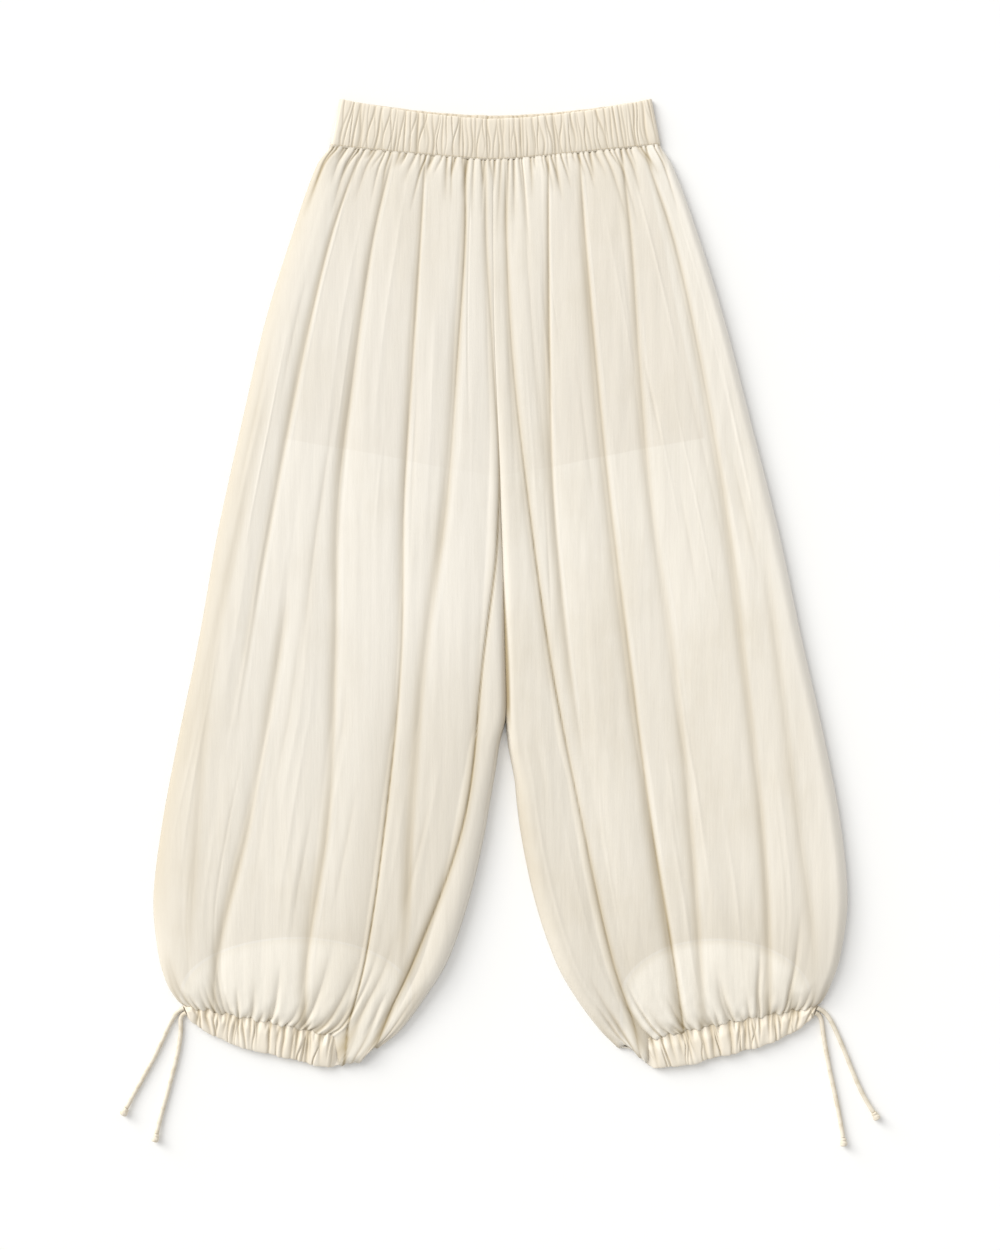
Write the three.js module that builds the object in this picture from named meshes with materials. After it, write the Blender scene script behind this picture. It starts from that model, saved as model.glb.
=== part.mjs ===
// Harem trousers of sheer cloth, laid flat on their back: a gathered elastic waistband, two balloon legs
// each cut as a front and a back, short lining legs, and cuffs drawn in by a cord that ends in knots.
// Millimetres. +Z is up from the surface, +Y points to the waist, and the wearer's left leg lies at +X.
// The origin is on the surface, under the middle of the laid garment.
import * as THREE from "three";

// Rows of numbers under named columns.
const table = (columns, rows) =>
  rows.map((row) => Object.fromEntries(columns.map((column, i) => [column, row[i]])));

// Driving sizes

const CLOTH = 1.4; // wall of the outer cloth
const INNER_CLOTH = 1.0; // wall of the lining and the cuff facing
const SEAM = 0.3; // gap between pieces that are sewn together or lie on each other
const BACK_TOP = CLOTH; // the back lies flat on the surface
const LINING_BACK_TOP = BACK_TOP + SEAM + INNER_CLOTH;
const LINING_FRONT_TOP = LINING_BACK_TOP + SEAM + INNER_CLOTH;
const FACING_TOP = BACK_TOP + SEAM + INNER_CLOTH;

// The front lies on what is below it, and no fold sinks lower: the back, the facing or the lining.
const ON_BACK = BACK_TOP + SEAM + CLOTH;
const ON_FACING = FACING_TOP + SEAM + CLOTH;
const ON_LINING = LINING_FRONT_TOP + SEAM + CLOTH;

const WAIST = {
  left: -176,
  right: 165.5,
  topLeft: -166,
  topRight: 156,
  centreSeam: -8,
  seamDip: 438, // height of the band's lower edge at the centre front
  seamRise: 10.5, // how much higher it is at the side seams
  seamTilt: 0.008,
  topEnd: 500,
  frontTop: 480.5,
  backTop: 484,
  dipPower: 1.7, // how the top edges curve up to the side seams
  gape: 3, // how far the front's top edge stands off the back at the middle
  casing: 2.3, // two layers and the elastic, in the valleys between gathers
  backCasing: 2,
  frontGathers: 40,
  frontDepth: 1.9,
  backGathers: 22,
  backDepth: 0.6,
};
WAIST.backThick = WAIST.backCasing + WAIST.backDepth * 1.1;

const CUFF = {
  outer: { x: 323.5, y: -446 }, // the hem's ends, on the leg's outer and inner side
  inner: { x: 134, y: -493 },
  bow: 17, // how far the hem curves down between them
  bowPower: 4,
  gape: 0,
  casing: 3.2, // two layers and the cord that runs between them
  backCasing: 2,
  frontGathers: 22,
  frontDepth: 2.2,
  backGathers: 10,
  backDepth: 0.6,
};
CUFF.backThick = CUFF.backCasing + CUFF.backDepth * 1.1;

const FACING = { from: 0.1, to: 0.9, middle: 0.48, half: 0.43, height: 0.112, least: 0.006 };
const LINING_CENTRE = -6;
const CORD = { diameter: 4.6, sides: 8, step: 11 };

// Leg sections from the waist seam (v 0) to the cuff seam (v 1), measured outwards from the middle: the
// side seam's place, how far the inner edge lies from the line between the legs, the section's sag, the
// height of the folds' backs, the lowest that a fold may sink, and the height of the inner edge.
const SECTION = ["v", "outerX", "outerY", "apart", "sag", "crown", "floor", "lift"];
const RIGHT_SECTIONS = table(SECTION, [
  [0.0, 176, 447, 0, 0, 8.2, ON_LINING, 7.0],
  [0.03, 190.5, 428, 0, 0, 10.8, ON_LINING, 7.6],
  [0.1, 214, 365, 0, 0, 13.6, ON_LINING, 8.6],
  [0.2, 243, 272, 0, 1, 15.2, ON_LINING, 9.2],
  [0.32, 269, 160, 0, 2, 15.6, ON_LINING, 8.4],
  [0.38, 282, 102, 0, 2, 15.6, ON_LINING, 6.4],
  [0.44, 294, 45, 0, 2, 15.6, 3.4, ON_BACK],
  [0.55, 312, -58, 0, 3, 16.0, 3.4, ON_BACK],
  [0.66, 334, -164, 0, 3, 16.5, 3.4, ON_BACK],
  [0.76, 350, -249, 19, 4, 17.0, 3.6, ON_BACK],
  [0.85, 359, -327, 38, 4, 17.0, ON_FACING, ON_BACK],
  [0.91, 354, -383, 60, 5, 16.0, ON_FACING, ON_BACK],
  [0.95, 345, -414, 86, 4, 13.6, ON_FACING, ON_BACK],
  [0.98, 335, -430, 118, 1, 10.6, ON_FACING, ON_BACK],
  [1.0, 327.5, -437.2, 133, -2, 8.2, ON_FACING, ON_BACK],
]);
const LEFT_SECTIONS = table(SECTION, [
  [0.0, 165.5, 450, 0, 0, 8.2, ON_LINING, 7.0],
  [0.03, 179, 428, 0, 0, 10.8, ON_LINING, 7.6],
  [0.1, 203, 365, 0, 0, 13.6, ON_LINING, 8.6],
  [0.2, 232, 272, 0, 1, 15.2, ON_LINING, 9.2],
  [0.32, 261, 160, 0, 2, 15.6, ON_LINING, 8.4],
  [0.38, 276, 102, 0, 2, 15.6, ON_LINING, 6.4],
  [0.44, 290, 45, 0, 2, 15.6, 3.4, ON_BACK],
  [0.55, 312, -58, 0, 3, 16.0, 3.4, ON_BACK],
  [0.66, 336, -164, 0, 3, 16.5, 3.4, ON_BACK],
  [0.76, 352, -249, 14, 4, 17.0, 3.6, ON_BACK],
  [0.85, 359, -327, 31, 4, 17.0, ON_FACING, ON_BACK],
  [0.91, 352, -383, 52, 5, 16.0, ON_FACING, ON_BACK],
  [0.95, 342, -414, 74, 4, 13.6, ON_FACING, ON_BACK],
  [0.98, 334, -430, 99, 1, 10.6, ON_FACING, ON_BACK],
  [1.0, 327.5, -437.2, 116, -2, 8.2, ON_FACING, ON_BACK],
]);

// The line between the legs: the centre front seam down to the crotch, and then where their inner sides
// lie side by side.
const MIDDLE = table(["v", "x", "y"], [
  [0.0, WAIST.centreSeam, WAIST.seamDip],
  [0.03, -8, 411],
  [0.1, -8, 344],
  [0.2, -6.5, 253],
  [0.32, -2, 144],
  [0.38, -0.5, 92],
  [0.44, 0.5, 37],
  [0.55, 3, -63],
  [0.66, 5.5, -167],
  [0.76, 5, -248],
  [0.85, 5, -329],
  [0.91, 5, -391],
  [0.95, 5, -430],
  [0.98, 5, -463],
  [1.0, 5, -479],
]);

// The long folds of each front, counted from the side seam: the share of the panel's width at which each
// runs at the waist, hip, knee, ankle and cuff, its depth between them, and how far its walls reach
// outwards and inwards.
const FOLD = ["waist", "hip", "knee", "ankle", "cuff", "hipDeep", "kneeDeep", "ankleDeep", "out", "into"];
const RIGHT_FOLDS = table(FOLD, [
  [0.1, 0.09, 0.08, 0.1, 0.09, 3, 2, 4, 0.07, 0.05],
  [0.185, 0.182, 0.16, 0.15, 0.17, 8, 3, 3, 0.09, 0.06],
  [0.26, 0.265, 0.27, 0.22, 0.25, 2, 7, 9, 0.08, 0.06],
  [0.33, 0.345, 0.37, 0.36, 0.4, 1, 1, 3, 0.06, 0.06],
  [0.41, 0.415, 0.468, 0.515, 0.54, 8, 7, 8, 0.09, 0.06],
  [0.5, 0.53, 0.56, 0.6, 0.64, 1, 1, 4, 0.06, 0.06],
  [0.605, 0.647, 0.66, 0.7, 0.74, 7, 10, 11, 0.1, 0.04],
  [0.73, 0.735, 0.695, 0.76, 0.8, 1, 0, 3, 0.05, 0.05],
  [0.845, 0.814, 0.73, 0.82, 0.86, 9, 4, 4, 0.09, 0.05],
  [0.9, 0.9, 0.82, 0.865, 0.9, 1, 1, 4, 0.05, 0.05],
  [0.955, 0.965, 0.906, 0.91, 0.945, 8, 10, 10, 0.09, 0.04],
]);
const LEFT_FOLDS = table(FOLD, [
  [0.07, 0.08, 0.1, 0.12, 0.13, 3, 3, 4, 0.05, 0.06],
  [0.137, 0.171, 0.237, 0.262, 0.27, 8, 6, 6, 0.05, 0.09],
  [0.235, 0.29, 0.345, 0.38, 0.38, 1, 1, 4, 0.06, 0.06],
  [0.33, 0.438, 0.457, 0.498, 0.49, 7, 7, 8, 0.06, 0.09],
  [0.425, 0.52, 0.53, 0.55, 0.56, 1, 1, 3, 0.05, 0.05],
  [0.53, 0.606, 0.596, 0.596, 0.62, 8, 11, 11, 0.04, 0.1],
  [0.63, 0.7, 0.69, 0.68, 0.7, 1, 1, 3, 0.05, 0.05],
  [0.725, 0.8, 0.765, 0.745, 0.77, 8, 4, 4, 0.05, 0.08],
  [0.835, 0.865, 0.8, 0.785, 0.82, 1, 1, 2, 0.04, 0.04],
  [0.945, 0.928, 0.84, 0.83, 0.88, 8, 10, 10, 0.04, 0.09],
]);
const STATION = { waist: 0, hip: 0.3, knee: 0.66, ankle: 0.92, cuff: 1 };
const FOLD_END = 2.5; // depth of the long folds at the waist and cuff seams
const GATHER = { depth: 2, run: 0.09 }; // short gathers between them, and their run as a share of the leg
const SIDE_SHARE = 0.1; // share of a panel's width in which its side rounds down to its seam

// Lining legs, from the waist seam to their hem. Their crotch is above the trousers' own.
const LINING_SECTIONS = table(["v", "outerX", "outerY", "innerX", "innerY"], [
  [0, 152, 446, 0, 438],
  [0.25, 172, 368, 0, 360],
  [0.5, 188, 292, 0, 280],
  [0.75, 203, 220, 1, 198],
  [0.88, 210, 183, 2, 152],
  [1, 216, 150, 9, 112],
]);

// Routes of the cord ends, from the cuff to the knot, measured outwards as the legs are.
const CORD_ROUTES = {
  right_1: [
    [327.3, -438.7, 3.3], [331, -440.5, 2.8], [334.4, -443.4, 2.4], [337.6, -447.6, 2.3], [340.3, -452.2, 2.3],
    [342.9, -457.2, 2.3], [347.8, -468.2, 2.3], [353.8, -480.9, 2.3], [360, -493.4, 2.3], [366.2, -504.7, 2.3],
    [372.8, -516.6, 2.3], [379, -527.8, 2.5], [382.2, -533.6, 2.9], [384.8, -538.4, 3.5], [386.4, -541.6, 4],
  ],
  right_2: [
    [325, -443.6, 3.3], [327.6, -445, 2.8], [329.6, -447.4, 2.4], [330.6, -450.6, 2.3], [330.7, -454.6, 2.3],
    [330.5, -459, 2.3], [330.7, -464.4, 2.3], [332.4, -477.7, 2.3], [335, -490.8, 2.3], [338.2, -503.4, 2.3],
    [341.5, -515.5, 2.3], [344.5, -527, 2.3], [347.7, -538.5, 2.3], [351, -550.4, 2.5], [353, -558.2, 2.9],
    [354.4, -564.3, 3.5], [355.3, -568.2, 4],
  ],
  left_1: [
    [325, -443.6, 3.3], [327.8, -445.1, 2.8], [330.2, -447.7, 2.4], [331.6, -451.2, 2.3], [332.4, -455.4, 2.3],
    [333.1, -460.4, 2.3], [334.3, -469.2, 2.3], [336.5, -482.1, 2.3], [338.9, -495.4, 2.3], [341.6, -508.8, 2.3],
    [344.4, -521.4, 2.3], [347.2, -534.6, 2.3], [349.8, -547.6, 2.3], [351.4, -556.2, 2.5], [352.6, -563.2, 3],
    [353.4, -568.4, 3.6], [353.9, -572.4, 4],
  ],
  left_2: [
    [327.3, -438.7, 3.3], [331.1, -440.5, 2.8], [335, -443.4, 2.4], [338.8, -447.8, 2.3], [341.9, -452.8, 2.3],
    [344.6, -458.2, 2.3], [349.4, -468.7, 2.3], [354.5, -480.5, 2.3], [359.3, -492.6, 2.3], [364, -504.2, 2.3],
    [369, -516.2, 2.3], [374.5, -527.8, 2.4], [377.4, -533.2, 2.6], [380.3, -538.2, 3], [383, -542.6, 3.6],
    [385.2, -546.1, 4],
  ],
};
// A knot's outline, turned about the cord's line: a tight coil by the cord and a wider one at the tip.
const KNOT_PROFILE = [[0, 0], [2.5, 0], [3.2, 1.4], [3, 3.2], [3.2, 4], [3.9, 5.6], [3.7, 8], [2.2, 8.8], [0, 8.8]];
const KNOT_SIDES = 8;

// Curves

// Value of one column at v, on a smooth curve through a table's rows.
function along(rows, column, v) {
  let i = 0;
  while (i < rows.length - 2 && v > rows[i + 1].v) i += 1;
  const row = (k) => rows[THREE.MathUtils.clamp(k, 0, rows.length - 1)];
  const [before, from, to, after] = [row(i - 1), row(i), row(i + 1), row(i + 2)];
  const span = to.v - from.v;
  const t = THREE.MathUtils.clamp((v - from.v) / span, 0, 1);
  const leaving = ((to[column] - before[column]) / (to.v - before.v)) * span;
  const arriving = ((after[column] - from[column]) / (after.v - from.v)) * span;
  const blend = t * t * (3 - 2 * t);
  const curve = leaving * t * (1 - t) ** 2 - arriving * t * t * (1 - t);
  return from[column] + (to[column] - from[column]) * blend + curve;
}

// Quarter of an ellipse: 0 at an edge, 1 from one edge width on.
function rounded(share) {
  const s = THREE.MathUtils.clamp(share, 0, 1);
  return Math.sqrt(1 - (1 - s) ** 2);
}

// A fold's section: 1 at its sharp bottom, 0 where its walls reach the folds' backs.
function valley(distance, reach) {
  return Math.max(0, 1 - Math.abs(distance) / reach) ** 2;
}

// The waist seam's place along Y over the garment's width.
function seamY(x) {
  const half = (WAIST.right - WAIST.left) / 2;
  const share = Math.abs(x - WAIST.centreSeam) / half;
  return WAIST.seamDip + WAIST.seamTilt * (x - WAIST.centreSeam) + WAIST.seamRise * share ** 1.25;
}

// Share of a gathered strip's width at a column, two columns to a gather, with gathers of uneven width.
function gatherPlace(column, gathers, phase) {
  const whole = column / 2;
  const uneven = 0.24 * Math.sin(whole * 2.3 + phase) + 0.12 * Math.sin(whole * 0.9);
  const ends = Math.min(1, whole, gathers - whole);
  return (whole + uneven * ends) / gathers;
}

// A gather's height over the valleys beside it: ridges are the odd columns, of uneven height.
function gatherHeight(column, depth) {
  if (column % 2 === 0) return 0;
  return depth * (0.8 + 0.3 * Math.sin(column * 0.95));
}

// Legs

// One fold's course down the leg, a row for each station.
function foldCourse(fold) {
  return table(["v", "u", "deep"], [
    [STATION.waist, fold.waist, FOLD_END],
    [STATION.hip, fold.hip, fold.hipDeep],
    [STATION.knee, fold.knee, fold.kneeDeep],
    [STATION.ankle, fold.ankle, fold.ankleDeep],
    [STATION.cuff, fold.cuff, FOLD_END],
  ]);
}

function makeLeg(name, sign, sections, folds) {
  return { name, sign, sections, folds, courses: folds.map(foldCourse) };
}

const LEGS = [
  makeLeg("right", -1, RIGHT_SECTIONS, RIGHT_FOLDS),
  makeLeg("left", 1, LEFT_SECTIONS, LEFT_FOLDS),
];

// Where a leg's folds lie across its width at v, with both edges.
function anchors(leg, v) {
  return [0, ...leg.courses.map((rows) => along(rows, "u", v)), 1];
}

// Height of the front's outer face, at share u of a leg's width from its side seam.
function foldedHeight(leg, u, v) {
  const places = anchors(leg, v);
  let z = along(leg.sections, "crown", v);
  leg.folds.forEach((fold, i) => {
    const off = u - places[i + 1];
    z -= along(leg.courses[i], "deep", v) * valley(off, off < 0 ? fold.out : fold.into);
  });
  const fullness = Math.max(0, 1 - Math.min(v, 1 - v) / GATHER.run) ** 1.5;
  for (let i = 0; i + 1 < places.length; i += 1) {
    const middle = (places[i] + places[i + 1]) / 2;
    z -= GATHER.depth * fullness * valley(u - middle, (places[i + 1] - places[i]) / 2);
  }
  return Math.max(z, along(leg.sections, "floor", v), ON_BACK);
}

// A point of a leg's plan at height z.
function planPoint(leg, u, v, z) {
  const outerX = along(leg.sections, "outerX", v) * leg.sign;
  const apart = Math.max(0, along(leg.sections, "apart", v)) + SEAM / 2;
  const innerX = along(MIDDLE, "x", v) + apart * leg.sign;
  const x = THREE.MathUtils.lerp(outerX, innerX, u);
  const outerY = along(leg.sections, "outerY", v);
  const innerY = along(MIDDLE, "y", v);
  const sag = along(leg.sections, "sag", v) * 4 * u * (1 - u);
  const y = THREE.MathUtils.lerp(outerY, innerY, u) - sag;
  const topX = THREE.MathUtils.lerp(leg.sections[0].outerX * leg.sign, WAIST.centreSeam, u);
  const topY = THREE.MathUtils.lerp(leg.sections[0].outerY, WAIST.seamDip, u);
  const nearWaist = 1 - THREE.MathUtils.smoothstep(v, 0, 0.12);
  return new THREE.Vector3(x, y + (seamY(topX) - SEAM - topY) * nearWaist, z);
}

// A point of a leg's front, with both sides rounded down to the back.
function frontPoint(leg, u, v, height) {
  const lift = Math.max(ON_BACK, along(leg.sections, "lift", v));
  const sideZ = ON_BACK + (height - ON_BACK) * rounded(u / SIDE_SHARE);
  const z = lift + (sideZ - lift) * rounded((1 - u) / SIDE_SHARE);
  return planPoint(leg, u, v, z);
}

// Walls

// One closed wall between two grids of points, each given by a function of column and row.
function wall(columns, rows, outerPoint, innerPoint) {
  const positions = [];
  for (const point of [outerPoint, innerPoint])
    for (let row = 0; row <= rows; row += 1)
      for (let column = 0; column <= columns; column += 1) positions.push(...point(column, row).toArray());
  const id = (layer, row, column) => (layer * (rows + 1) + row) * (columns + 1) + column;
  const index = [];
  const quad = (a, b, c, d) => index.push(a, b, c, a, c, d);
  for (let row = 0; row < rows; row += 1)
    for (let column = 0; column < columns; column += 1) {
      quad(id(0, row, column), id(0, row + 1, column), id(0, row + 1, column + 1), id(0, row, column + 1));
      quad(id(1, row, column), id(1, row, column + 1), id(1, row + 1, column + 1), id(1, row + 1, column));
    }
  for (let column = 0; column < columns; column += 1) {
    quad(id(0, 0, column), id(0, 0, column + 1), id(1, 0, column + 1), id(1, 0, column));
    quad(id(0, rows, column + 1), id(0, rows, column), id(1, rows, column), id(1, rows, column + 1));
  }
  for (let row = 0; row < rows; row += 1) {
    quad(id(0, row + 1, 0), id(0, row, 0), id(1, row, 0), id(1, row + 1, 0));
    quad(id(0, row, columns), id(0, row + 1, columns), id(1, row + 1, columns), id(1, row, columns));
  }
  const geometry = new THREE.BufferGeometry();
  geometry.setAttribute("position", new THREE.Float32BufferAttribute(positions, 3));
  geometry.setIndex(facingOut(positions, index));
  geometry.computeVertexNormals();
  return geometry;
}

// The triangles, turned round if they enclose a negative volume, as those of one of two mirrored legs do.
function facingOut(positions, index) {
  const corner = (i) => new THREE.Vector3().fromArray(positions, index[i] * 3);
  let volume = 0;
  for (let i = 0; i < index.length; i += 3) volume += corner(i).dot(corner(i + 1).cross(corner(i + 2)));
  return volume > 0 ? index : index.reverse();
}

// Direction square to a row of points at one of them, in the upright plane across the garment.
function acrossNormal(points, column) {
  const before = points[Math.max(column - 1, 0)];
  const after = points[Math.min(column + 1, points.length - 1)];
  const normal = new THREE.Vector3(before.z - after.z, 0, after.x - before.x);
  if (normal.z < 0) normal.negate();
  return normal.normalize();
}

// Wall of even thickness under a grid of outer points. Its first and last columns are thickened straight
// down, so that a neighbour's edge can meet them.
function clothWall(columns, rows, outerPoint, thickness) {
  const grid = Array.from({ length: rows + 1 }, (_, row) =>
    Array.from({ length: columns + 1 }, (_, column) => outerPoint(column, row)),
  );
  const down = new THREE.Vector3(0, 0, 1);
  const innerPoint = (column, row) => {
    const isEdge = column === 0 || column === columns;
    const normal = isEdge ? down : acrossNormal(grid[row], column);
    return grid[row][column].clone().addScaledVector(normal, -thickness);
  };
  return wall(columns, rows, (column, row) => grid[row][column], innerPoint);
}

// Pieces

const FRONT_ROWS = [0, 0.02, 0.05, 0.09, 0.16, 0.25, 0.34, 0.4, 0.46, 0.56, 0.66, 0.72, 0.79, 0.86, 0.92, 0.97, 1];
const FOLD_STEPS = [0, 0.3, 0.65]; // columns between two folds, as shares of the way
const SIDE_STEPS = [0, 0.08, 0.3, 0.6]; // columns between a panel's side and its nearest fold

// Shares of a leg's width at which its columns run, so that each follows a fold or the cloth between two.
function columnShares(leg, v) {
  const places = anchors(leg, v);
  const gaps = places.length - 1;
  const shares = [];
  for (let i = 0; i < gaps; i += 1) {
    const fromInside = SIDE_STEPS.map((step) => 1 - step).reverse();
    const inner = [0, ...fromInside.slice(0, -1)];
    const steps = i === 0 ? SIDE_STEPS : i === gaps - 1 ? inner : FOLD_STEPS;
    for (const step of steps) shares.push(THREE.MathUtils.lerp(places[i], places[i + 1], step));
  }
  return [...shares, 1];
}

function legFront(leg) {
  const shares = FRONT_ROWS.map((v) => columnShares(leg, v));
  const point = (column, row) => {
    const u = shares[row][column];
    const v = FRONT_ROWS[row];
    return frontPoint(leg, u, v, foldedHeight(leg, u, v));
  };
  return clothWall(shares[0].length - 1, FRONT_ROWS.length - 1, point, CLOTH);
}

function legBack(leg) {
  const columns = 4;
  const at = (z) => (column, row) => planPoint(leg, column / columns, FRONT_ROWS[row], z);
  return wall(columns, FRONT_ROWS.length - 1, at(BACK_TOP), at(0));
}

// A flat layer of the inner cloth with its top at height z, over a plan.
function flatLayer(columns, rows, planAt, z) {
  const at = (height) => (column, row) => planAt(column / columns, row / rows).setZ(height);
  return wall(columns, rows, at(z), at(z - INNER_CLOTH));
}

function liningLeg(leg, z) {
  const planAt = (u, v) => {
    const outerX = LINING_CENTRE + along(LINING_SECTIONS, "outerX", v) * leg.sign;
    const innerX = LINING_CENTRE + (along(LINING_SECTIONS, "innerX", v) + SEAM / 2) * leg.sign;
    const outerY = along(LINING_SECTIONS, "outerY", v);
    const innerY = along(LINING_SECTIONS, "innerY", v);
    const x = THREE.MathUtils.lerp(outerX, innerX, u);
    const planY = THREE.MathUtils.lerp(outerY, innerY, u);
    const nearWaist = 1 - THREE.MathUtils.smoothstep(v, 0, 0.25);
    const y = THREE.MathUtils.lerp(planY, Math.min(planY, seamY(x) - SEAM), nearWaist);
    return new THREE.Vector3(x, y, 0);
  };
  return flatLayer(5, 8, planAt, z);
}

// The facing lies in each leg above the cuff seam, up to an arched edge.
function facing(leg) {
  const planAt = (across, down) => {
    const u = THREE.MathUtils.lerp(FACING.from, FACING.to, across);
    const off = (u - FACING.middle) / FACING.half;
    const arch = FACING.least + FACING.height * Math.sqrt(Math.max(0, 1 - off * off));
    return planPoint(leg, u, 1 - arch * (1 - down), 0);
  };
  return flatLayer(16, 4, planAt, FACING_TOP);
}

// Waistband point in plan: rise is the share of its height from its seam to its top edge.
function bandPoint(share, rise, topDip) {
  const bottomX = THREE.MathUtils.lerp(WAIST.left, WAIST.right, share);
  const topX = THREE.MathUtils.lerp(WAIST.topLeft, WAIST.topRight, share);
  const fromMiddle = Math.abs(share - 0.5) * 2;
  const topY = topDip + (WAIST.topEnd - topDip) * fromMiddle ** WAIST.dipPower;
  const x = THREE.MathUtils.lerp(bottomX, topX, rise);
  return new THREE.Vector3(x, THREE.MathUtils.lerp(seamY(bottomX), topY, rise), 0);
}

// Cuff point in plan: drop is the share of its height from the leg's seam to the hem.
function cuffPoint(leg, u, drop) {
  const seam = planPoint(leg, u, 1, 0);
  seam.y -= SEAM;
  const bow = CUFF.bow * (1 - Math.abs(2 * u - 1) ** CUFF.bowPower);
  const x = THREE.MathUtils.lerp(CUFF.outer.x, CUFF.inner.x, u) * leg.sign;
  const y = THREE.MathUtils.lerp(CUFF.outer.y, CUFF.inner.y, u) - bow;
  return seam.lerp(new THREE.Vector3(x, y, 0), drop);
}

// A gathered casing. Its back lies flat on the surface and its front on the back, but for where the
// front's free edge gapes. The middle of the front's height is the fullest.
function casing(size, isFront, planAt) {
  const gathers = isFront ? size.frontGathers : size.backGathers;
  const depth = isFront ? size.frontDepth : size.backDepth;
  const thick = isFront ? size.casing : size.backCasing;
  const fullness = isFront ? [0.75, 1, 0.7] : [1, 1];
  const rows = fullness.length - 1;
  const plain = (column, row) => {
    const share = gatherPlace(column, gathers, row * 0.35);
    const gape = size.gape * (row / rows) * 4 * share * (1 - share);
    return planAt(share, row / rows).setZ(isFront ? size.backThick + SEAM + gape : 0);
  };
  const gathered = (column, row) => {
    const point = plain(column, row);
    point.z += thick + fullness[row] * gatherHeight(column, depth);
    return point;
  };
  return wall(gathers * 2, rows, gathered, plain);
}

function waistband(isFront) {
  const topDip = isFront ? WAIST.frontTop : WAIST.backTop;
  return casing(WAIST, isFront, (share, rise) => bandPoint(share, rise, topDip));
}

function cuff(leg, isFront) {
  return casing(CUFF, isFront, (share, drop) => cuffPoint(leg, share, drop));
}

function cord(points) {
  const path = new THREE.CatmullRomCurve3(points);
  const radius = CORD.diameter / 2;
  const ring = Array.from({ length: CORD.sides }, (_, i) => {
    const angle = ((i + 0.5) / CORD.sides) * 2 * Math.PI;
    return new THREE.Vector2(Math.cos(angle) * radius, Math.sin(angle) * radius);
  });
  const steps = Math.round(path.getLength() / CORD.step);
  return new THREE.ExtrudeGeometry(new THREE.Shape(ring), { steps, extrudePath: path, bevelEnabled: false });
}

function knot() {
  return new THREE.LatheGeometry(KNOT_PROFILE.map(([r, h]) => new THREE.Vector2(r, h)), KNOT_SIDES);
}

// Assembly

const cloth = new THREE.MeshStandardMaterial({ color: 0xefe8da, roughness: 0.8, metalness: 0 });
const innerCloth = new THREE.MeshStandardMaterial({ color: 0xe6ddcf, roughness: 0.75, metalness: 0 });
const cordCloth = new THREE.MeshStandardMaterial({ color: 0xe6dcca, roughness: 0.7, metalness: 0 });

const trousers = new THREE.Group();
function add(name, geometry, material) {
  const mesh = new THREE.Mesh(geometry, material);
  mesh.name = name;
  trousers.add(mesh);
  return mesh;
}

// A cord end and the knot at its tip, turned to the cord's last stretch.
function addCordEnd(leg, end) {
  const route = CORD_ROUTES[`${leg.name}_${end}`];
  const points = route.map(([x, y, z]) => new THREE.Vector3(x * leg.sign, y, z));
  add(`cord_${leg.name}_${end}`, cord(points), cordCloth);
  const tip = points[points.length - 1];
  const direction = tip.clone().sub(points[points.length - 2]).setZ(0).normalize();
  const mesh = add(`knot_${leg.name}_${end}`, knot(), cordCloth);
  mesh.position.copy(tip).addScaledVector(direction, SEAM);
  mesh.quaternion.setFromUnitVectors(new THREE.Vector3(0, 1, 0), direction);
}

add("waistband_front", waistband(true), cloth);
add("waistband_back", waistband(false), cloth);
for (const leg of LEGS) {
  add(`leg_front_${leg.name}`, legFront(leg), cloth);
  add(`leg_back_${leg.name}`, legBack(leg), cloth);
  add(`cuff_front_${leg.name}`, cuff(leg, true), cloth);
  add(`cuff_back_${leg.name}`, cuff(leg, false), cloth);
  add(`facing_${leg.name}`, facing(leg), innerCloth);
  add(`lining_front_${leg.name}`, liningLeg(leg, LINING_FRONT_TOP), innerCloth);
  add(`lining_back_${leg.name}`, liningLeg(leg, LINING_BACK_TOP), innerCloth);
  addCordEnd(leg, 1);
  addCordEnd(leg, 2);
}

export default trousers;
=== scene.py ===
import math
import random

import bmesh
import bpy
import numpy as np
from mathutils import Matrix, Vector, noise


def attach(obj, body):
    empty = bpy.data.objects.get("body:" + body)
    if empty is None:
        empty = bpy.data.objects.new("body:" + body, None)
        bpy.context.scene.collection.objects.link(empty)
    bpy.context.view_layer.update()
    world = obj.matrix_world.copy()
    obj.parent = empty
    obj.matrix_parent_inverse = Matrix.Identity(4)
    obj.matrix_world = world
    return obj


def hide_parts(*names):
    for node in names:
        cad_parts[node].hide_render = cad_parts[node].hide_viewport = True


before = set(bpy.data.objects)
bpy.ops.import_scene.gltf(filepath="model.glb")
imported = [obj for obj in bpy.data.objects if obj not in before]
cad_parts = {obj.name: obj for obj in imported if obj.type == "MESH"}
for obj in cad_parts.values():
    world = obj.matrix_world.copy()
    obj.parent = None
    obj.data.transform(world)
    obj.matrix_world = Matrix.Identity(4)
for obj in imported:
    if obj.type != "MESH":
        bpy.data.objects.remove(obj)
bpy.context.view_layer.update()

MM = 0.001

# Photo frame
PHOTO_MM_PER_PIXEL = 1.032
PHOTO_HEIGHT_PX = 1250
PHOTO_CENTRE_PX = (500, 625)
ORIGIN_PX = (500.5, 583.5)

# Cloth layers
SHELL = 0.5
BACK_TOP = 0.8
SIDE_EDGE_TOP = 1.4
LINING_BACK_TOP = 2.2
LINING_FRONT_TOP = 3.6
FACING_TOP = 2.4
ON_BACK = 3.1
ON_FACING = 4.4
ON_LINING = 5.7


def table(columns, rows):
    """Rows of numbers under named columns."""
    return [dict(zip(columns, row)) for row in rows]


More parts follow.
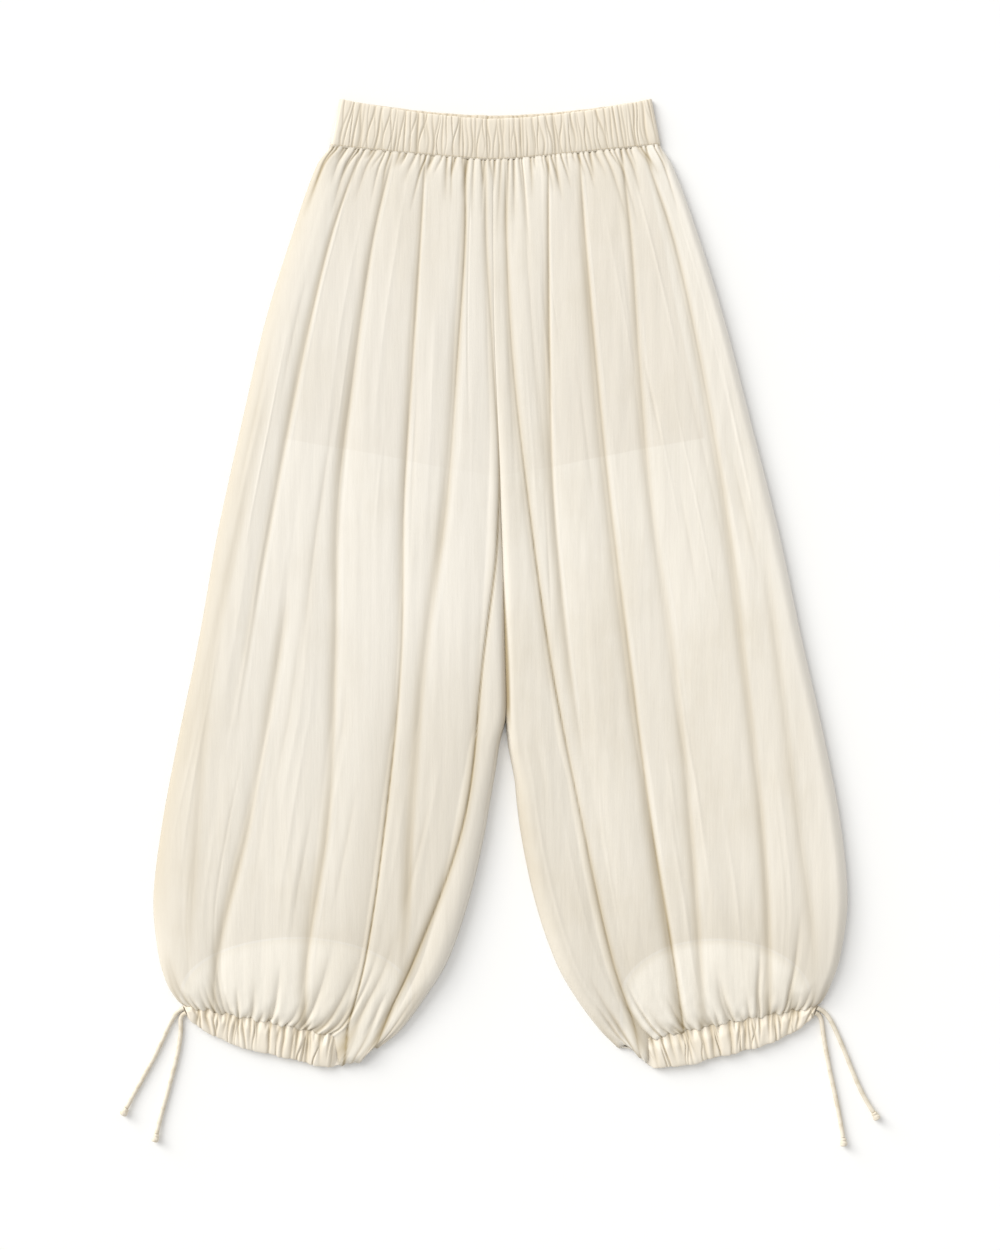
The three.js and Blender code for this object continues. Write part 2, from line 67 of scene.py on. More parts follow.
# Construction, repeated from the solids
WAIST = {
    "left": -176, "right": 165.5, "top_left": -166, "top_right": 156,
    "centre_seam": -8, "seam_dip": 437, "seam_rise": 16.2, "seam_tilt": 0.003,
    "top_end": 500, "front_top": 480.5, "back_top": 484, "dip_power": 1.7,
}
CUFF = {"outer": (323.5, -446), "inner": (134, -493), "bow": 17, "bow_power": 4}

SECTIONS = table(
    ("v", "right_x", "right_y", "right_apart", "left_x", "left_y", "left_apart", "sag", "crown", "floor"), [
        (0, 176, 447, 0, 165.5, 450, 0, 0, 8.2, ON_LINING),
        (0.03, 190.5, 428, 0, 179, 428, 0, 0, 10.8, ON_LINING),
        (0.1, 214, 365, 0, 203, 365, 0, 0, 13.6, ON_LINING),
        (0.2, 243, 272, 0, 232, 272, 0, 1, 15.2, ON_LINING),
        (0.32, 269, 160, 0, 261, 160, 0, 2, 15.6, ON_LINING),
        (0.38, 282, 102, 0, 276, 102, 0, 2, 15.6, ON_LINING),
        (0.44, 294, 45, 0, 290, 45, 0, 2, 15.6, 3.4),
        (0.55, 312, -58, 0, 312, -58, 0, 3, 16, 3.4),
        (0.66, 334, -164, 0, 336, -164, 0, 3, 16.5, 3.4),
        (0.76, 350, -249, 19, 352, -249, 14, 4, 17, 3.6),
        (0.85, 359, -327, 38, 359, -327, 31, 4, 17, ON_FACING),
        (0.91, 354, -383, 60, 352, -383, 52, 5, 16, ON_FACING),
        (0.95, 345, -414, 86, 342, -414, 74, 4, 13.6, ON_FACING),
        (0.98, 335, -430, 118, 334, -430, 99, 1, 10.6, ON_FACING),
        (1, 327.5, -437.2, 133, 327.5, -437.2, 116, -2, 8.2, ON_FACING),
    ],
)
MIDDLE = table(("v", "x", "y"), [
    (0, WAIST["centre_seam"], WAIST["seam_dip"]),
    (0.03, -8, 411),
    (0.1, -8, 344),
    (0.2, -6.5, 253),
    (0.32, -2, 144),
    (0.38, -0.5, 92),
    (0.44, 0.5, 37),
    (0.55, 3, -63),
    (0.66, 5.5, -167),
    (0.76, 5, -248),
    (0.85, 5, -329),
    (0.91, 5, -391),
    (0.95, 5, -430),
    (0.98, 5, -463),
    (1, 5, -479),
])
FOLD = ("waist", "hip", "knee", "ankle", "cuff", "hip_deep", "knee_deep", "ankle_deep", "out", "into")
RIGHT_FOLDS = table(FOLD, [
    (0.1, 0.09, 0.08, 0.1, 0.09, 3, 2, 4, 0.07, 0.05),
    (0.185, 0.182, 0.16, 0.15, 0.17, 8, 3, 3, 0.09, 0.06),
    (0.26, 0.265, 0.27, 0.22, 0.25, 2, 7, 9, 0.08, 0.06),
    (0.33, 0.345, 0.37, 0.36, 0.4, 1, 1, 3, 0.06, 0.06),
    (0.41, 0.415, 0.468, 0.515, 0.54, 8, 7, 8, 0.09, 0.06),
    (0.5, 0.53, 0.56, 0.6, 0.64, 1, 1, 4, 0.06, 0.06),
    (0.605, 0.647, 0.66, 0.7, 0.74, 7, 10, 11, 0.1, 0.04),
    (0.73, 0.735, 0.695, 0.76, 0.8, 1, 0, 3, 0.05, 0.05),
    (0.845, 0.814, 0.73, 0.82, 0.86, 9, 4, 4, 0.09, 0.05),
    (0.9, 0.9, 0.82, 0.865, 0.9, 1, 1, 4, 0.05, 0.05),
    (0.955, 0.965, 0.906, 0.91, 0.945, 8, 10, 10, 0.09, 0.04),
])
LEFT_FOLDS = table(FOLD, [
    (0.07, 0.08, 0.1, 0.12, 0.13, 3, 3, 4, 0.05, 0.06),
    (0.137, 0.171, 0.237, 0.262, 0.27, 8, 6, 6, 0.05, 0.09),
    (0.235, 0.29, 0.345, 0.38, 0.38, 1, 1, 4, 0.06, 0.06),
    (0.33, 0.438, 0.457, 0.498, 0.49, 7, 7, 8, 0.06, 0.09),
    (0.425, 0.52, 0.53, 0.55, 0.56, 1, 1, 3, 0.05, 0.05),
    (0.53, 0.606, 0.596, 0.596, 0.62, 8, 11, 11, 0.04, 0.1),
    (0.63, 0.7, 0.69, 0.68, 0.7, 1, 1, 3, 0.05, 0.05),
    (0.725, 0.8, 0.765, 0.745, 0.77, 8, 4, 4, 0.05, 0.08),
    (0.835, 0.865, 0.8, 0.785, 0.82, 1, 1, 2, 0.04, 0.04),
    (0.945, 0.928, 0.84, 0.83, 0.88, 8, 10, 10, 0.04, 0.09),
])
STATION = {"waist": 0, "hip": 0.3, "knee": 0.66, "ankle": 0.92, "cuff": 1}
FOLD_END = 2.5
# The scene's legs part a little higher than the solids', and the right one bulges more beside its cuff:
# millimetres added to each leg's gap from the middle.
OPENING = table(("v", "right", "left"), [
    (0, 0, 0),
    (0.6, 0, 0),
    (0.632, 0, 0),
    (0.66, 6.5, 2),
    (0.7, 5.6, 4.2),
    (0.73, 3, 2.2),
    (0.77, 0, 0),
    (0.9, 0, 0),
    (0.95, -2, 0),
    (0.98, -9, 0),
    (1, -3, 0),
])

LINING_CENTRE = -6
LINING_SECTIONS = table(("v", "outer_x", "outer_y", "inner_x", "inner_y"), [
    (0, 152, 446, 0, 438),
    (0.25, 172, 368, 0, 360),
    (0.5, 188, 292, 0, 280),
    (0.75, 203, 220, 1, 198),
    (0.88, 210, 183, 2, 152),
    (1, 216, 150, 9, 112),
])
# The facing's arch on each leg: its middle, half width, the height where the arch springs, and its rise.
FACING = {
    "right": {"x": -211, "half": 120, "spring": -424, "rise": 60},
    "left": {"x": 222, "half": 99, "spring": -427.5, "rise": 62},
}

CORD_DIAMETER = 4.6
CORD_ROUTES = {
    "right_1": [
        (327.3, -438.7, 3.3), (331, -440.5, 2.8), (334.4, -443.4, 2.4), (337.6, -447.6, 2.3),
        (340.3, -452.2, 2.3), (342.9, -457.2, 2.3), (347.8, -468.2, 2.3), (353.8, -480.9, 2.3),
        (360, -493.4, 2.3), (366.2, -504.7, 2.3), (372.8, -516.6, 2.3), (379, -527.8, 2.5),
        (382.2, -533.6, 2.9), (384.8, -538.4, 3.5), (386.4, -541.6, 4),
    ],
    "right_2": [
        (325, -443.6, 3.3), (327.6, -445, 2.8), (329.6, -447.4, 2.4), (330.6, -450.6, 2.3),
        (330.7, -454.6, 2.3), (330.5, -459, 2.3), (330.7, -464.4, 2.3), (332.4, -477.7, 2.3),
        (335, -490.8, 2.3), (338.2, -503.4, 2.3), (341.5, -515.5, 2.3), (344.5, -527, 2.3),
        (347.7, -538.5, 2.3), (351, -550.4, 2.5), (353, -558.2, 2.9), (354.4, -564.3, 3.5),
        (355.3, -568.2, 4),
    ],
    "left_1": [
        (325, -443.6, 3.3), (327.8, -445.1, 2.8), (330.2, -447.7, 2.4), (331.6, -451.2, 2.3),
        (332.4, -455.4, 2.3), (333.1, -460.4, 2.3), (334.3, -469.2, 2.3), (336.5, -482.1, 2.3),
        (338.9, -495.4, 2.3), (341.6, -508.8, 2.3), (344.4, -521.4, 2.3), (347.2, -534.6, 2.3),
        (349.8, -547.6, 2.3), (351.4, -556.2, 2.5), (352.6, -563.2, 3), (353.4, -568.4, 3.6),
        (353.9, -572.4, 4),
    ],
    "left_2": [
        (327.3, -438.7, 3.3), (331.1, -440.5, 2.8), (335, -443.4, 2.4), (338.8, -447.8, 2.3),
        (341.9, -452.8, 2.3), (344.6, -458.2, 2.3), (349.4, -468.7, 2.3), (354.5, -480.5, 2.3),
        (359.3, -492.6, 2.3), (364, -504.2, 2.3), (369, -516.2, 2.3), (374.5, -527.8, 2.4),
        (377.4, -533.2, 2.6), (380.3, -538.2, 3), (383, -542.6, 3.6), (385.2, -546.1, 4),
    ],
}


# Curves


def lerp(a, b, t):
    return a + (b - a) * t


def clamp(value, low, high):
    return max(low, min(high, value))


def smoothstep(value, low, high):
    t = np.clip((value - low) / (high - low), 0, 1)
    return t * t * (3 - 2 * t)


def along(rows, column, v):
    """Value of one column at v, on a smooth curve through a table's rows."""
    i = 0
    while i < len(rows) - 2 and v > rows[i + 1]["v"]:
        i += 1
    before, start, end, after = (rows[clamp(k, 0, len(rows) - 1)] for k in (i - 1, i, i + 1, i + 2))
    span = end["v"] - start["v"]
    t = clamp((v - start["v"]) / span, 0, 1)
    leaving = (end[column] - before[column]) / (end["v"] - before["v"]) * span
    arriving = (after[column] - start[column]) / (after["v"] - start["v"]) * span
    blend = t * t * (3 - 2 * t)
    curve = leaving * t * (1 - t) ** 2 - arriving * t * t * (1 - t)
    return start[column] + (end[column] - start[column]) * blend + curve


def rounded(share):
    """Quarter of an ellipse: 0 at an edge, 1 from one edge width on."""
    s = np.clip(share, 0, 1)
    return np.sqrt(1 - (1 - s) ** 2)


def valley(distance, reach):
    """A fold's section: 1 at its sharp bottom, 0 where its walls reach the folds' backs."""
    return np.maximum(0, 1 - np.abs(distance) / reach) ** 2


def seam_y(x):
    half = (WAIST["right"] - WAIST["left"]) / 2
    share = np.abs(x - WAIST["centre_seam"]) / half
    tilt = WAIST["seam_tilt"] * (x - WAIST["centre_seam"])
    return WAIST["seam_dip"] + tilt + WAIST["seam_rise"] * (np.sqrt(share ** 2 + 0.01) - 0.1)


def denser_ends(t):
    """Rows that lie closer together at both gathered ends."""
    return t - 0.07 * math.sin(2 * math.pi * t)


# The scene's own creases, finer than the solids' folds: places along X from the waist seam to the cuff, how
# soft and how sharp each is at hip, knee and ankle, and the shares of the leg at which it starts and ends.
# Each has a gentle wall on its left and a steep one on its right, with a thin raised edge beyond that.
CREASE_HEIGHTS = {
    "seam": 440, "yoke": 354, "hip": 231, "thigh": 86, "knee": -79, "calf": -244, "shin": -389, "cuff": -480,
}
CREASE = (
    *CREASE_HEIGHTS, "soft_hip", "soft_knee", "soft_ankle", "line_hip", "line_knee", "line_ankle", "edge",
    "wide", "start", "end",
)
RIGHT_CREASES = table(CREASE, [
    (-214, -222, -235, -265, -298, -313, -322, -326, 0.2, 0.35, 0.3, 0, 0, 0.1, 0.1, 12, 0.25, 0.97),
    (-148, -177, -206, -234, -263, -284, -305, -310, 0.95, 0.6, 0.2, 0.2, 0, 0, 0.7, 11, 0, 0.66),
    (-170, -180, -190, -207, -231, -260, -294, -298, 0, 0.6, 0.8, 0, 0, 0.2, 0.4, 12, 0.5, 1),
    (-113, -133, -151, -169, -172, -179, -201, -204, 0.9, 0.75, 0.85, 0.2, 0.1, 0.2, 0.6, 13, 0, 1),
    (-79, -84, -92, -101, -104, -120, -141, -166, 1, 0.75, 0.5, 0.3, 0.45, 1.4, 0.7, 11, 0, 1),
    (-38, -38, -46, -57, -80, -93, -101, -116, 1, 0.75, 0.7, 0.6, 0, 0, 0.5, 14, 0, 0.97),
    (-17, -17, -10, -4, -20, -39, -91, -136, 0.65, 0.5, 1.1, 0.3, 1.9, 0.9, 0.2, 11, 0, 1),
])
LEFT_CREASES = table(CREASE, [
    (3.6, 4.6, 11, 27, 50, 82, 114, 146, 0.7, 0.7, 0.8, 0.35, 1.4, 0.7, 0.2, 10, 0, 1),
    (48, 48, 49, 53, 69, 92, 110, 120, 1, 0.75, 0.2, 0.5, 0.1, 0, 0.9, 12, 0, 0.72),
    (80, 86, 96.5, 111, 131.5, 153, 177, 190, 0.95, 0.9, 1.1, 0.3, 0.35, 0.8, 0.8, 15, 0, 1),
    (124, 133, 141, 153, 177, 193.5, 204, 209, 0.8, 0.5, 0.7, 0.3, 0, 0, 0.5, 12, 0, 1),
    (149, 177, 204, 229, 249, 267, 275, 273, 0.8, 0.75, 0.75, 0.3, 0, 0, 0.4, 12, 0, 1),
    (240, 245, 255, 265, 284, 304, 322, 320, 0, 0.4, 0.4, 0, 0, 0.1, 0.2, 12, 0.45, 0.98),
])
CREASE_LEVELS = (0.2, 0.5, 0.85)
SOFT_DEPTH = 1.0
LINE_DEPTH = 1.2
LINE_REACH = 2.0
STEEP_SHARE = 0.2
MILD_SHARE = 0.9
COURSE_SHIFT = 1.5
EDGE_OFF = 1.2
EDGE_REACH = 1.8
EDGE_HEIGHT = 0.25


def fold_course(fold):
    return table(("v", "u", "deep"), [
        (STATION["waist"], fold["waist"], FOLD_END),
        (STATION["hip"], fold["hip"], fold["hip_deep"]),
        (STATION["knee"], fold["knee"], fold["knee_deep"]),
        (STATION["ankle"], fold["ankle"], fold["ankle_deep"]),
        (STATION["cuff"], fold["cuff"], FOLD_END),
    ])


def crease_course(crease):
    """Samples of a crease's place along X against its place along Y, from the cuff up to the waist."""
    top, foot = CREASE_HEIGHTS["seam"], CREASE_HEIGHTS["cuff"]
    rows = [{"v": (top - y) / (top - foot), "x": crease[name]} for name, y in CREASE_HEIGHTS.items()]
    shares = np.linspace(1, 0, 121)
    return top - (top - foot) * shares, np.array([along(rows, "x", share) for share in shares])


def short_gathers(count, seed, longest, deep, narrowest, widest, dark):
    """Gathers that start at a seam, of uneven place, length, depth and width (millimetres)."""
    draw = random.Random(seed)
    gathers = []
    for i in range(count):
        stretch = draw.choice((0.3, 0.5, 0.5, 0.8, 1))
        gathers.append({
            "u": (i + 0.5 + draw.uniform(-0.4, 0.4)) / count,
            "run": draw.uniform(0.4, 1) * longest * stretch,
            "deep": deep * draw.uniform(0.45, 1.2),
            "reach": draw.uniform(narrowest, widest),
            "drift": draw.uniform(-6, 6),
            "dark": dark * draw.uniform(0.5, 1.1),
        })
    return gathers


def soft_creases(count, seed):
    """Faint long creases between the others: some are ridges and some are troughs."""
    draw = random.Random(seed)
    creases = []
    for _ in range(count):
        middle = draw.uniform(0.12, 0.9)
        half = draw.uniform(0.05, 0.18)
        start = draw.uniform(0.04, 0.96)
        creases.append({
            "v0": middle - half,
            "v1": middle + half,
            "u0": start,
            "u1": start + draw.uniform(-0.02, 0.02),
            "rise": draw.choice((-1, 1, 1)) * draw.uniform(0.15, 0.55),
            "reach": draw.uniform(2, 9),
        })
    return creases


WAIST_GATHERS = {"count": 30, "longest": 110, "deep": 2, "narrowest": 1.6, "widest": 3.8, "dark": 0.9}
CUFF_GATHERS = {"count": 30, "longest": 150, "deep": 3.8, "narrowest": 2.4, "widest": 6.5, "dark": 0.62}
FAINT_CREASES = 46


def leg_facts(name, sign, seed, folds, creases):
    """All that a leg's rows are drawn from, with its own columns of the sections."""
    sections = [
        {**row, "outer_x": row[f"{name}_x"], "outer_y": row[f"{name}_y"], "apart": row[f"{name}_apart"]}
        for row in SECTIONS
    ]
    return {
        "name": name, "sign": sign, "sections": sections, "folds": folds, "creases": creases,
        "waist_gathers": short_gathers(seed=seed + 1, **WAIST_GATHERS),
        "cuff_gathers": short_gathers(seed=seed + 2, **CUFF_GATHERS),
        "faint": soft_creases(FAINT_CREASES, seed + 3),
        "courses": [fold_course(fold) for fold in folds],
        "places": [crease_course(crease) for crease in creases],
    }


LEGS = {
    "right": leg_facts("right", -1, 10, RIGHT_FOLDS, RIGHT_CREASES),
    "left": leg_facts("left", 1, 20, LEFT_FOLDS, LEFT_CREASES),
}
LEG_LENGTH = 925
LEG_WIDTH = 260
WIDE_FOLD_SHARE = 0.22
WIDE_FOLD_EASE = 1.15


def crumple(x, y, across, down, seed):
    """Soft noise over a row of points, stretched along the leg, from -1 to 1."""
    return np.array([noise.noise((px / across, py / down, seed)) for px, py in zip(x, y)]) * 1.6


def crease_section(off, left, right):
    """1 at a crease's bottom, with a gentle wall on its left and a steeper one on its right."""
    return valley(off, np.where(off < 0, left, right))


def leg_creases(leg, x, y, v):
    """How far the creases sink a row of points, and how much they shade and lighten it."""
    sink = np.zeros_like(x)
    shade = np.zeros_like(x)
    gleam = np.zeros_like(x)
    for crease, (course_y, course_x) in zip(leg["creases"], leg["places"]):
        off = x - np.interp(y, course_y, course_x) - COURSE_SHIFT
        uneven = 1 + 0.45 * noise.noise((crease["seam"], v * 8, 1))
        patchy = clamp(0.5 + 1.6 * noise.noise((crease["cuff"], v * 11, 4)), 0, 1)
        fade = float(smoothstep(v, crease["start"] - 0.03, crease["start"] + 0.06))
        if crease["start"] == 0:
            fade = 1
        fade *= 1 - float(smoothstep(v, crease["end"] - 0.14, crease["end"])) if crease["end"] < 1 else 1
        ease = min(1, 0.35 + v / 0.09)
        soft = np.interp(v, CREASE_LEVELS, [crease[f"soft_{level}"] for level in ("hip", "knee", "ankle")])
        line = np.interp(v, CREASE_LEVELS, [crease[f"line_{level}"] for level in ("hip", "knee", "ankle")])
        wide = crease["wide"] * min(1, 0.4 + v * 2.5)
        steep = wide * lerp(MILD_SHARE, STEEP_SHARE, crease["edge"])
        gentle = crease_section(off, wide, steep)
        sharp = valley(off, LINE_REACH)
        edge = patchy * crease["edge"] * valley(off - steep - EDGE_OFF, EDGE_REACH)
        deep = SOFT_DEPTH * soft * uneven * gentle + LINE_DEPTH * line * sharp
        sink += fade * ease * (deep - EDGE_HEIGHT * edge)
        # Painted shade in each crease, partly standing for its doubled sheer cloth, and a painted highlight
        # along its raised edge.
        shade += fade * (0.4 * soft * uneven * np.minimum(1, 1.7 * gentle) * ease + 0.52 * line * sharp)
        gleam += fade * ease * 0.5 * edge
    return sink, shade, gleam


def leg_gathers(leg, u, v):
    """How far the short gathers at both seams sink a row, and how much they shade it."""
    sections = leg["sections"]
    width = abs(along(sections, "outer_x", v) * leg["sign"] - along(MIDDLE, "x", v))
    width -= along(sections, "apart", v)
    seams = ((leg["waist_gathers"], v * LEG_LENGTH), (leg["cuff_gathers"], (1 - v) * LEG_LENGTH))
    sink = np.zeros_like(u)
    shade = np.zeros_like(u)
    for gathers, from_seam in seams:
        for gather in gathers:
            share = from_seam / gather["run"]
            if share >= 1:
                continue
            fade = 1 - share
            off = (u - gather["u"]) * width - gather["drift"] * share
            section = valley(off, gather["reach"] * (1 + 1.4 * share))
            sink += gather["deep"] * fade * section
            # Painted shade in each gather's hollow.
            shade += gather["dark"] * fade * section
    return sink, shade


def front_surface(leg, u, v, x, y):
    """Height of a leg front over a row of points, and how much its sheer cloth is shaded and lightened."""
    z = np.full_like(u, along(leg["sections"], "crown", v))
    for fold, course in zip(leg["folds"], leg["courses"]):
        off = u - along(course, "u", v)
        deep = max(0, along(course, "deep", v) - 1.5)
        reach = np.where(off < 0, fold["out"], fold["into"]) * WIDE_FOLD_EASE
        z -= WIDE_FOLD_SHARE * deep * valley(off, reach)
    sink, shade, gleam = leg_creases(leg, x, y, v)
    gather_sink, gather_shade = leg_gathers(leg, u, v)
    z -= sink + gather_sink
    for crease in leg["faint"]:
        t = (v - crease["v0"]) / (crease["v1"] - crease["v0"])
        if 0 < t < 1:
            swell = math.sin(math.pi * t)
            off = (u - lerp(crease["u0"], crease["u1"], t)) * LEG_WIDTH
            section = swell * valley(off, crease["reach"])
            z += crease["rise"] * section
            # Painted highlight on the faint ridges and painted shade in the faint troughs.
            gleam += np.maximum(0, 0.2 * crease["rise"] * section)
            shade += np.maximum(0, -0.25 * crease["rise"] * section)
    z += 0.45 * crumple(x, y, across=38, down=150, seed=3) + 0.16 * crumple(x, y, across=9, down=60, seed=5)
    near_cuff = math.exp(-(1 - v) * LEG_LENGTH / 26)
    z += 0.9 * near_cuff * crumple(x, y, across=7, down=11, seed=8)
    lowest = max(along(leg["sections"], "floor", v), ON_BACK)
    return np.maximum(z, lowest), shade + gather_shade, gleam


def leg_plan(leg, u, v):
    """Plan of a leg's row v over shares u from its side seam, in millimetres."""
    sections = leg["sections"]
    outer_x = along(sections, "outer_x", v) * leg["sign"]
    apart = max(0, along(sections, "apart", v)) + along(OPENING, leg["name"], v)
    inner_x = along(MIDDLE, "x", v) + apart * leg["sign"]
    x = lerp(outer_x, inner_x, u)
    sag = along(sections, "sag", v) * 4 * u * (1 - u)
    y = lerp(along(sections, "outer_y", v), along(MIDDLE, "y", v), u) - sag
    top_x = lerp(sections[0]["outer_x"] * leg["sign"], WAIST["centre_seam"], u)
    top_y = lerp(sections[0]["outer_y"], WAIST["seam_dip"], u)
    near_waist = 1 - smoothstep(v, 0, 0.12)
    near_cuff = max(0, 1 - (1 - v) * LEG_LENGTH / 12)
    waver = near_cuff * (1.3 * np.sin(u * 61) + 0.9 * np.sin(u * 143 + 2))
    return x, y + (seam_y(top_x) - top_y) * near_waist + waver


# Meshes


def sheet_piece(name, columns, rows, row_points, size, material, shell=SHELL):
    """A thin shell of cloth on a grid, with size as its width and length in metres for its own UV map.

    row_points gives x, y and z over u for one v, and a dictionary of tones that the material reads."""
    u = np.linspace(0, 1, columns + 1)
    made_rows = [row_points(u, row / rows) for row in range(rows + 1)]
    bm = bmesh.new()
    bmesh.ops.create_grid(bm, x_segments=columns, y_segments=rows, size=0.5)
    uv = bm.loops.layers.uv.new("cloth")
    layers = {tone: bm.verts.layers.float.new(tone) for tone in made_rows[0][3]}
    shares = {}
    for vert in bm.verts:
        across, down = vert.co.x + 0.5, vert.co.y + 0.5
        column = round(across * columns)
        x, y, z, tones = made_rows[round(down * rows)]
        shares[vert] = (across * size[0], down * size[1])
        vert.co = Vector((x[column], y[column], z[column])) * MM
        for tone, layer in layers.items():
            vert[layer] = tones[tone][column]
    for face in bm.faces:
        for loop in face.loops:
            loop[uv].uv = shares[loop.vert]
    bm.normal_update()
    if sum(face.normal.z * face.calc_area() for face in bm.faces) < 0:
        bmesh.ops.reverse_faces(bm, faces=bm.faces)
    piece = finish_mesh(name, bm, material)
    solid = piece.modifiers.new("cloth_thickness", "SOLIDIFY")
    solid.thickness = shell * MM
    solid.offset = -1
    return piece


def finish_mesh(name, bm, material):
    mesh = bpy.data.meshes.new(name)
    bm.to_mesh(mesh)
    bm.free()
    mesh.shade_smooth()
    mesh.materials.append(material)
    piece = bpy.data.objects.new(name, mesh)
    bpy.context.scene.collection.objects.link(piece)
    return piece


def settle(piece, slot, *nodes):
    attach(piece, "root")
    if nodes:
        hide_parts(*nodes)
    return piece


# Materials


def srgb(red, green, blue):
    """Linear colour of an sRGB one given from 0 to 255."""
    def linear(value):
        value /= 255
        return value / 12.92 if value <= 0.04045 else ((value + 0.055) / 1.055) ** 2.4
    return (linear(red), linear(green), linear(blue), 1)


class Shader:
    """A material on one Principled node, with short calls for the nodes that feed it."""

    def __init__(self, name, roughness, sheen, alpha=1.0):
        self.material = bpy.data.materials.new(name)
        self.material.use_nodes = True
        self.tree = self.material.node_tree
        self.shader = self.tree.nodes["Principled BSDF"]
        self.set("Roughness", roughness)
        self.set("Sheen Weight", sheen)
        self.set("Sheen Roughness", 0.4)
        self.set("Specular IOR Level", 0.25)
        self.set("Alpha", alpha)
        coordinates = self.tree.nodes.new("ShaderNodeTexCoord")
        self.place = coordinates.outputs["Object"]
        self.axes = self.tree.nodes.new("ShaderNodeSeparateXYZ")
        self.tree.links.new(self.place, self.axes.inputs[0])

    def set(self, socket, value):
        self.shader.inputs[socket].default_value = value

    def feed(self, output, socket):
        self.tree.links.new(output, self.shader.inputs[socket])

    def math(self, operation, *values):
        node = self.tree.nodes.new("ShaderNodeMath")
        node.operation = operation
        for i, value in enumerate(values):
            if isinstance(value, (int, float)):
                node.inputs[i].default_value = value
            else:
                self.tree.links.new(value, node.inputs[i])
        return node.outputs[0]

    def ramp(self, value, low, high):
        """0 at low and 1 at high, with a soft step between."""
        node = self.tree.nodes.new("ShaderNodeMapRange")
        node.interpolation_type = "SMOOTHSTEP"
        self.tree.links.new(value, node.inputs["Value"])
        node.inputs["From Min"].default_value = low
        node.inputs["From Max"].default_value = high
        return node.outputs["Result"]

    def noise(self, stretch, detail=2.0, roughness=0.5, source=None):
        """Noise over the piece, with so many lumps a metre along X, Y and Z."""
        mapping = self.tree.nodes.new("ShaderNodeMapping")
        mapping.inputs["Scale"].default_value = stretch
        self.tree.links.new(source or self.place, mapping.inputs["Vector"])
        node = self.tree.nodes.new("ShaderNodeTexNoise")
        node.inputs["Scale"].default_value = 1
        node.inputs["Detail"].default_value = detail
        node.inputs["Roughness"].default_value = roughness
        self.tree.links.new(mapping.outputs[0], node.inputs["Vector"])
        return node.outputs["Fac"]

    def attribute(self, name):
        node = self.tree.nodes.new("ShaderNodeAttribute")
        node.attribute_name = name
        return node.outputs["Fac"]

    def mix(self, factor, first, second):
        node = self.tree.nodes.new("ShaderNodeMix")
        node.data_type = "RGBA"
        for socket, value in ((node.inputs[0], factor), (node.inputs[6], first), (node.inputs[7], second)):
            if isinstance(value, (int, float, tuple)):
                socket.default_value = value
            else:
                self.tree.links.new(value, socket)
        return node.outputs[2]

    def bump(self, height, distance, strength=1.0):
        node = self.tree.nodes.new("ShaderNodeBump")
        node.inputs["Distance"].default_value = distance
        node.inputs["Strength"].default_value = strength
        self.tree.links.new(height, node.inputs["Height"])
        self.feed(node.outputs[0], "Normal")


CREPE = srgb(247, 241, 229)
# CREPE_SHADED and CREPE_GLEAM are painted shade and painted highlight, mixed in by the pieces' shade and
# gleam attributes.
CREPE_SHADED = srgb(178, 161, 127)
CREPE_GLEAM = srgb(252, 248, 240)
CREPE_OVER_LINING = srgb(241, 234, 221)
CREPE_OVER_FACING = srgb(253, 247, 234)
CREPE_MOTTLED = srgb(231, 222, 204)
GATHERED_CREPE = srgb(240, 231, 215)
LINING_TONE = srgb(228, 219, 203)
FACING_TONE = srgb(242, 236, 223)
CORD_TONE = srgb(232, 223, 206)
CORD_SHADE = srgb(208, 195, 170)
THREAD_TONE = srgb(214, 202, 178)


def crepe_grain(shader):
    """Pebbled crepe with fine slubs along the cloth."""
    pebble = shader.noise((900, 900, 900), detail=3)
    slub = shader.noise((420, 26, 420), detail=2)
    crinkle = shader.noise((60, 14, 60), detail=3)
    height = shader.math("ADD", shader.math("MULTIPLY", pebble, 0.35), shader.math("MULTIPLY", slub, 0.45))
    height = shader.math("ADD", height, shader.math("MULTIPLY", crinkle, 1.4))
    shader.bump(height, 0.0006, 0.5)
    return slub


def outer_cloth(name, tone, alpha, shows_layers=False, shades=True):
    """Sheer crepe: darker and warmer in its folds, partly for the doubled cloth and partly as painted shade,
    lightened by painted highlights, and toned by the lining and facing that lie below it.
    """
    shader = Shader(name, roughness=0.8, sheen=0.2, alpha=alpha)
    slub = crepe_grain(shader)
    if shows_layers:
        tone = layer_tones(shader, tone)
    mottle = shader.ramp(shader.noise((13, 8, 13), detail=4, roughness=0.6), 0.45, 0.75)
    tone = shader.mix(shader.math("MULTIPLY", mottle, 0.4), tone, CREPE_MOTTLED)
    tone = shader.mix(shader.math("MULTIPLY", shader.ramp(slub, 0.35, 0.75), 0.1), tone, CREPE_MOTTLED)
    # Painted highlight and painted shade, read from the pieces' gleam and shade attributes.
    if shades:
        tone = shader.mix(shader.attribute("gleam"), tone, CREPE_GLEAM)
        tone = shader.mix(shader.attribute("shade"), tone, CREPE_SHADED)
    if isinstance(tone, tuple):
        shader.set("Base Color", tone)
    else:
        shader.feed(tone, "Base Color")
    return shader.material


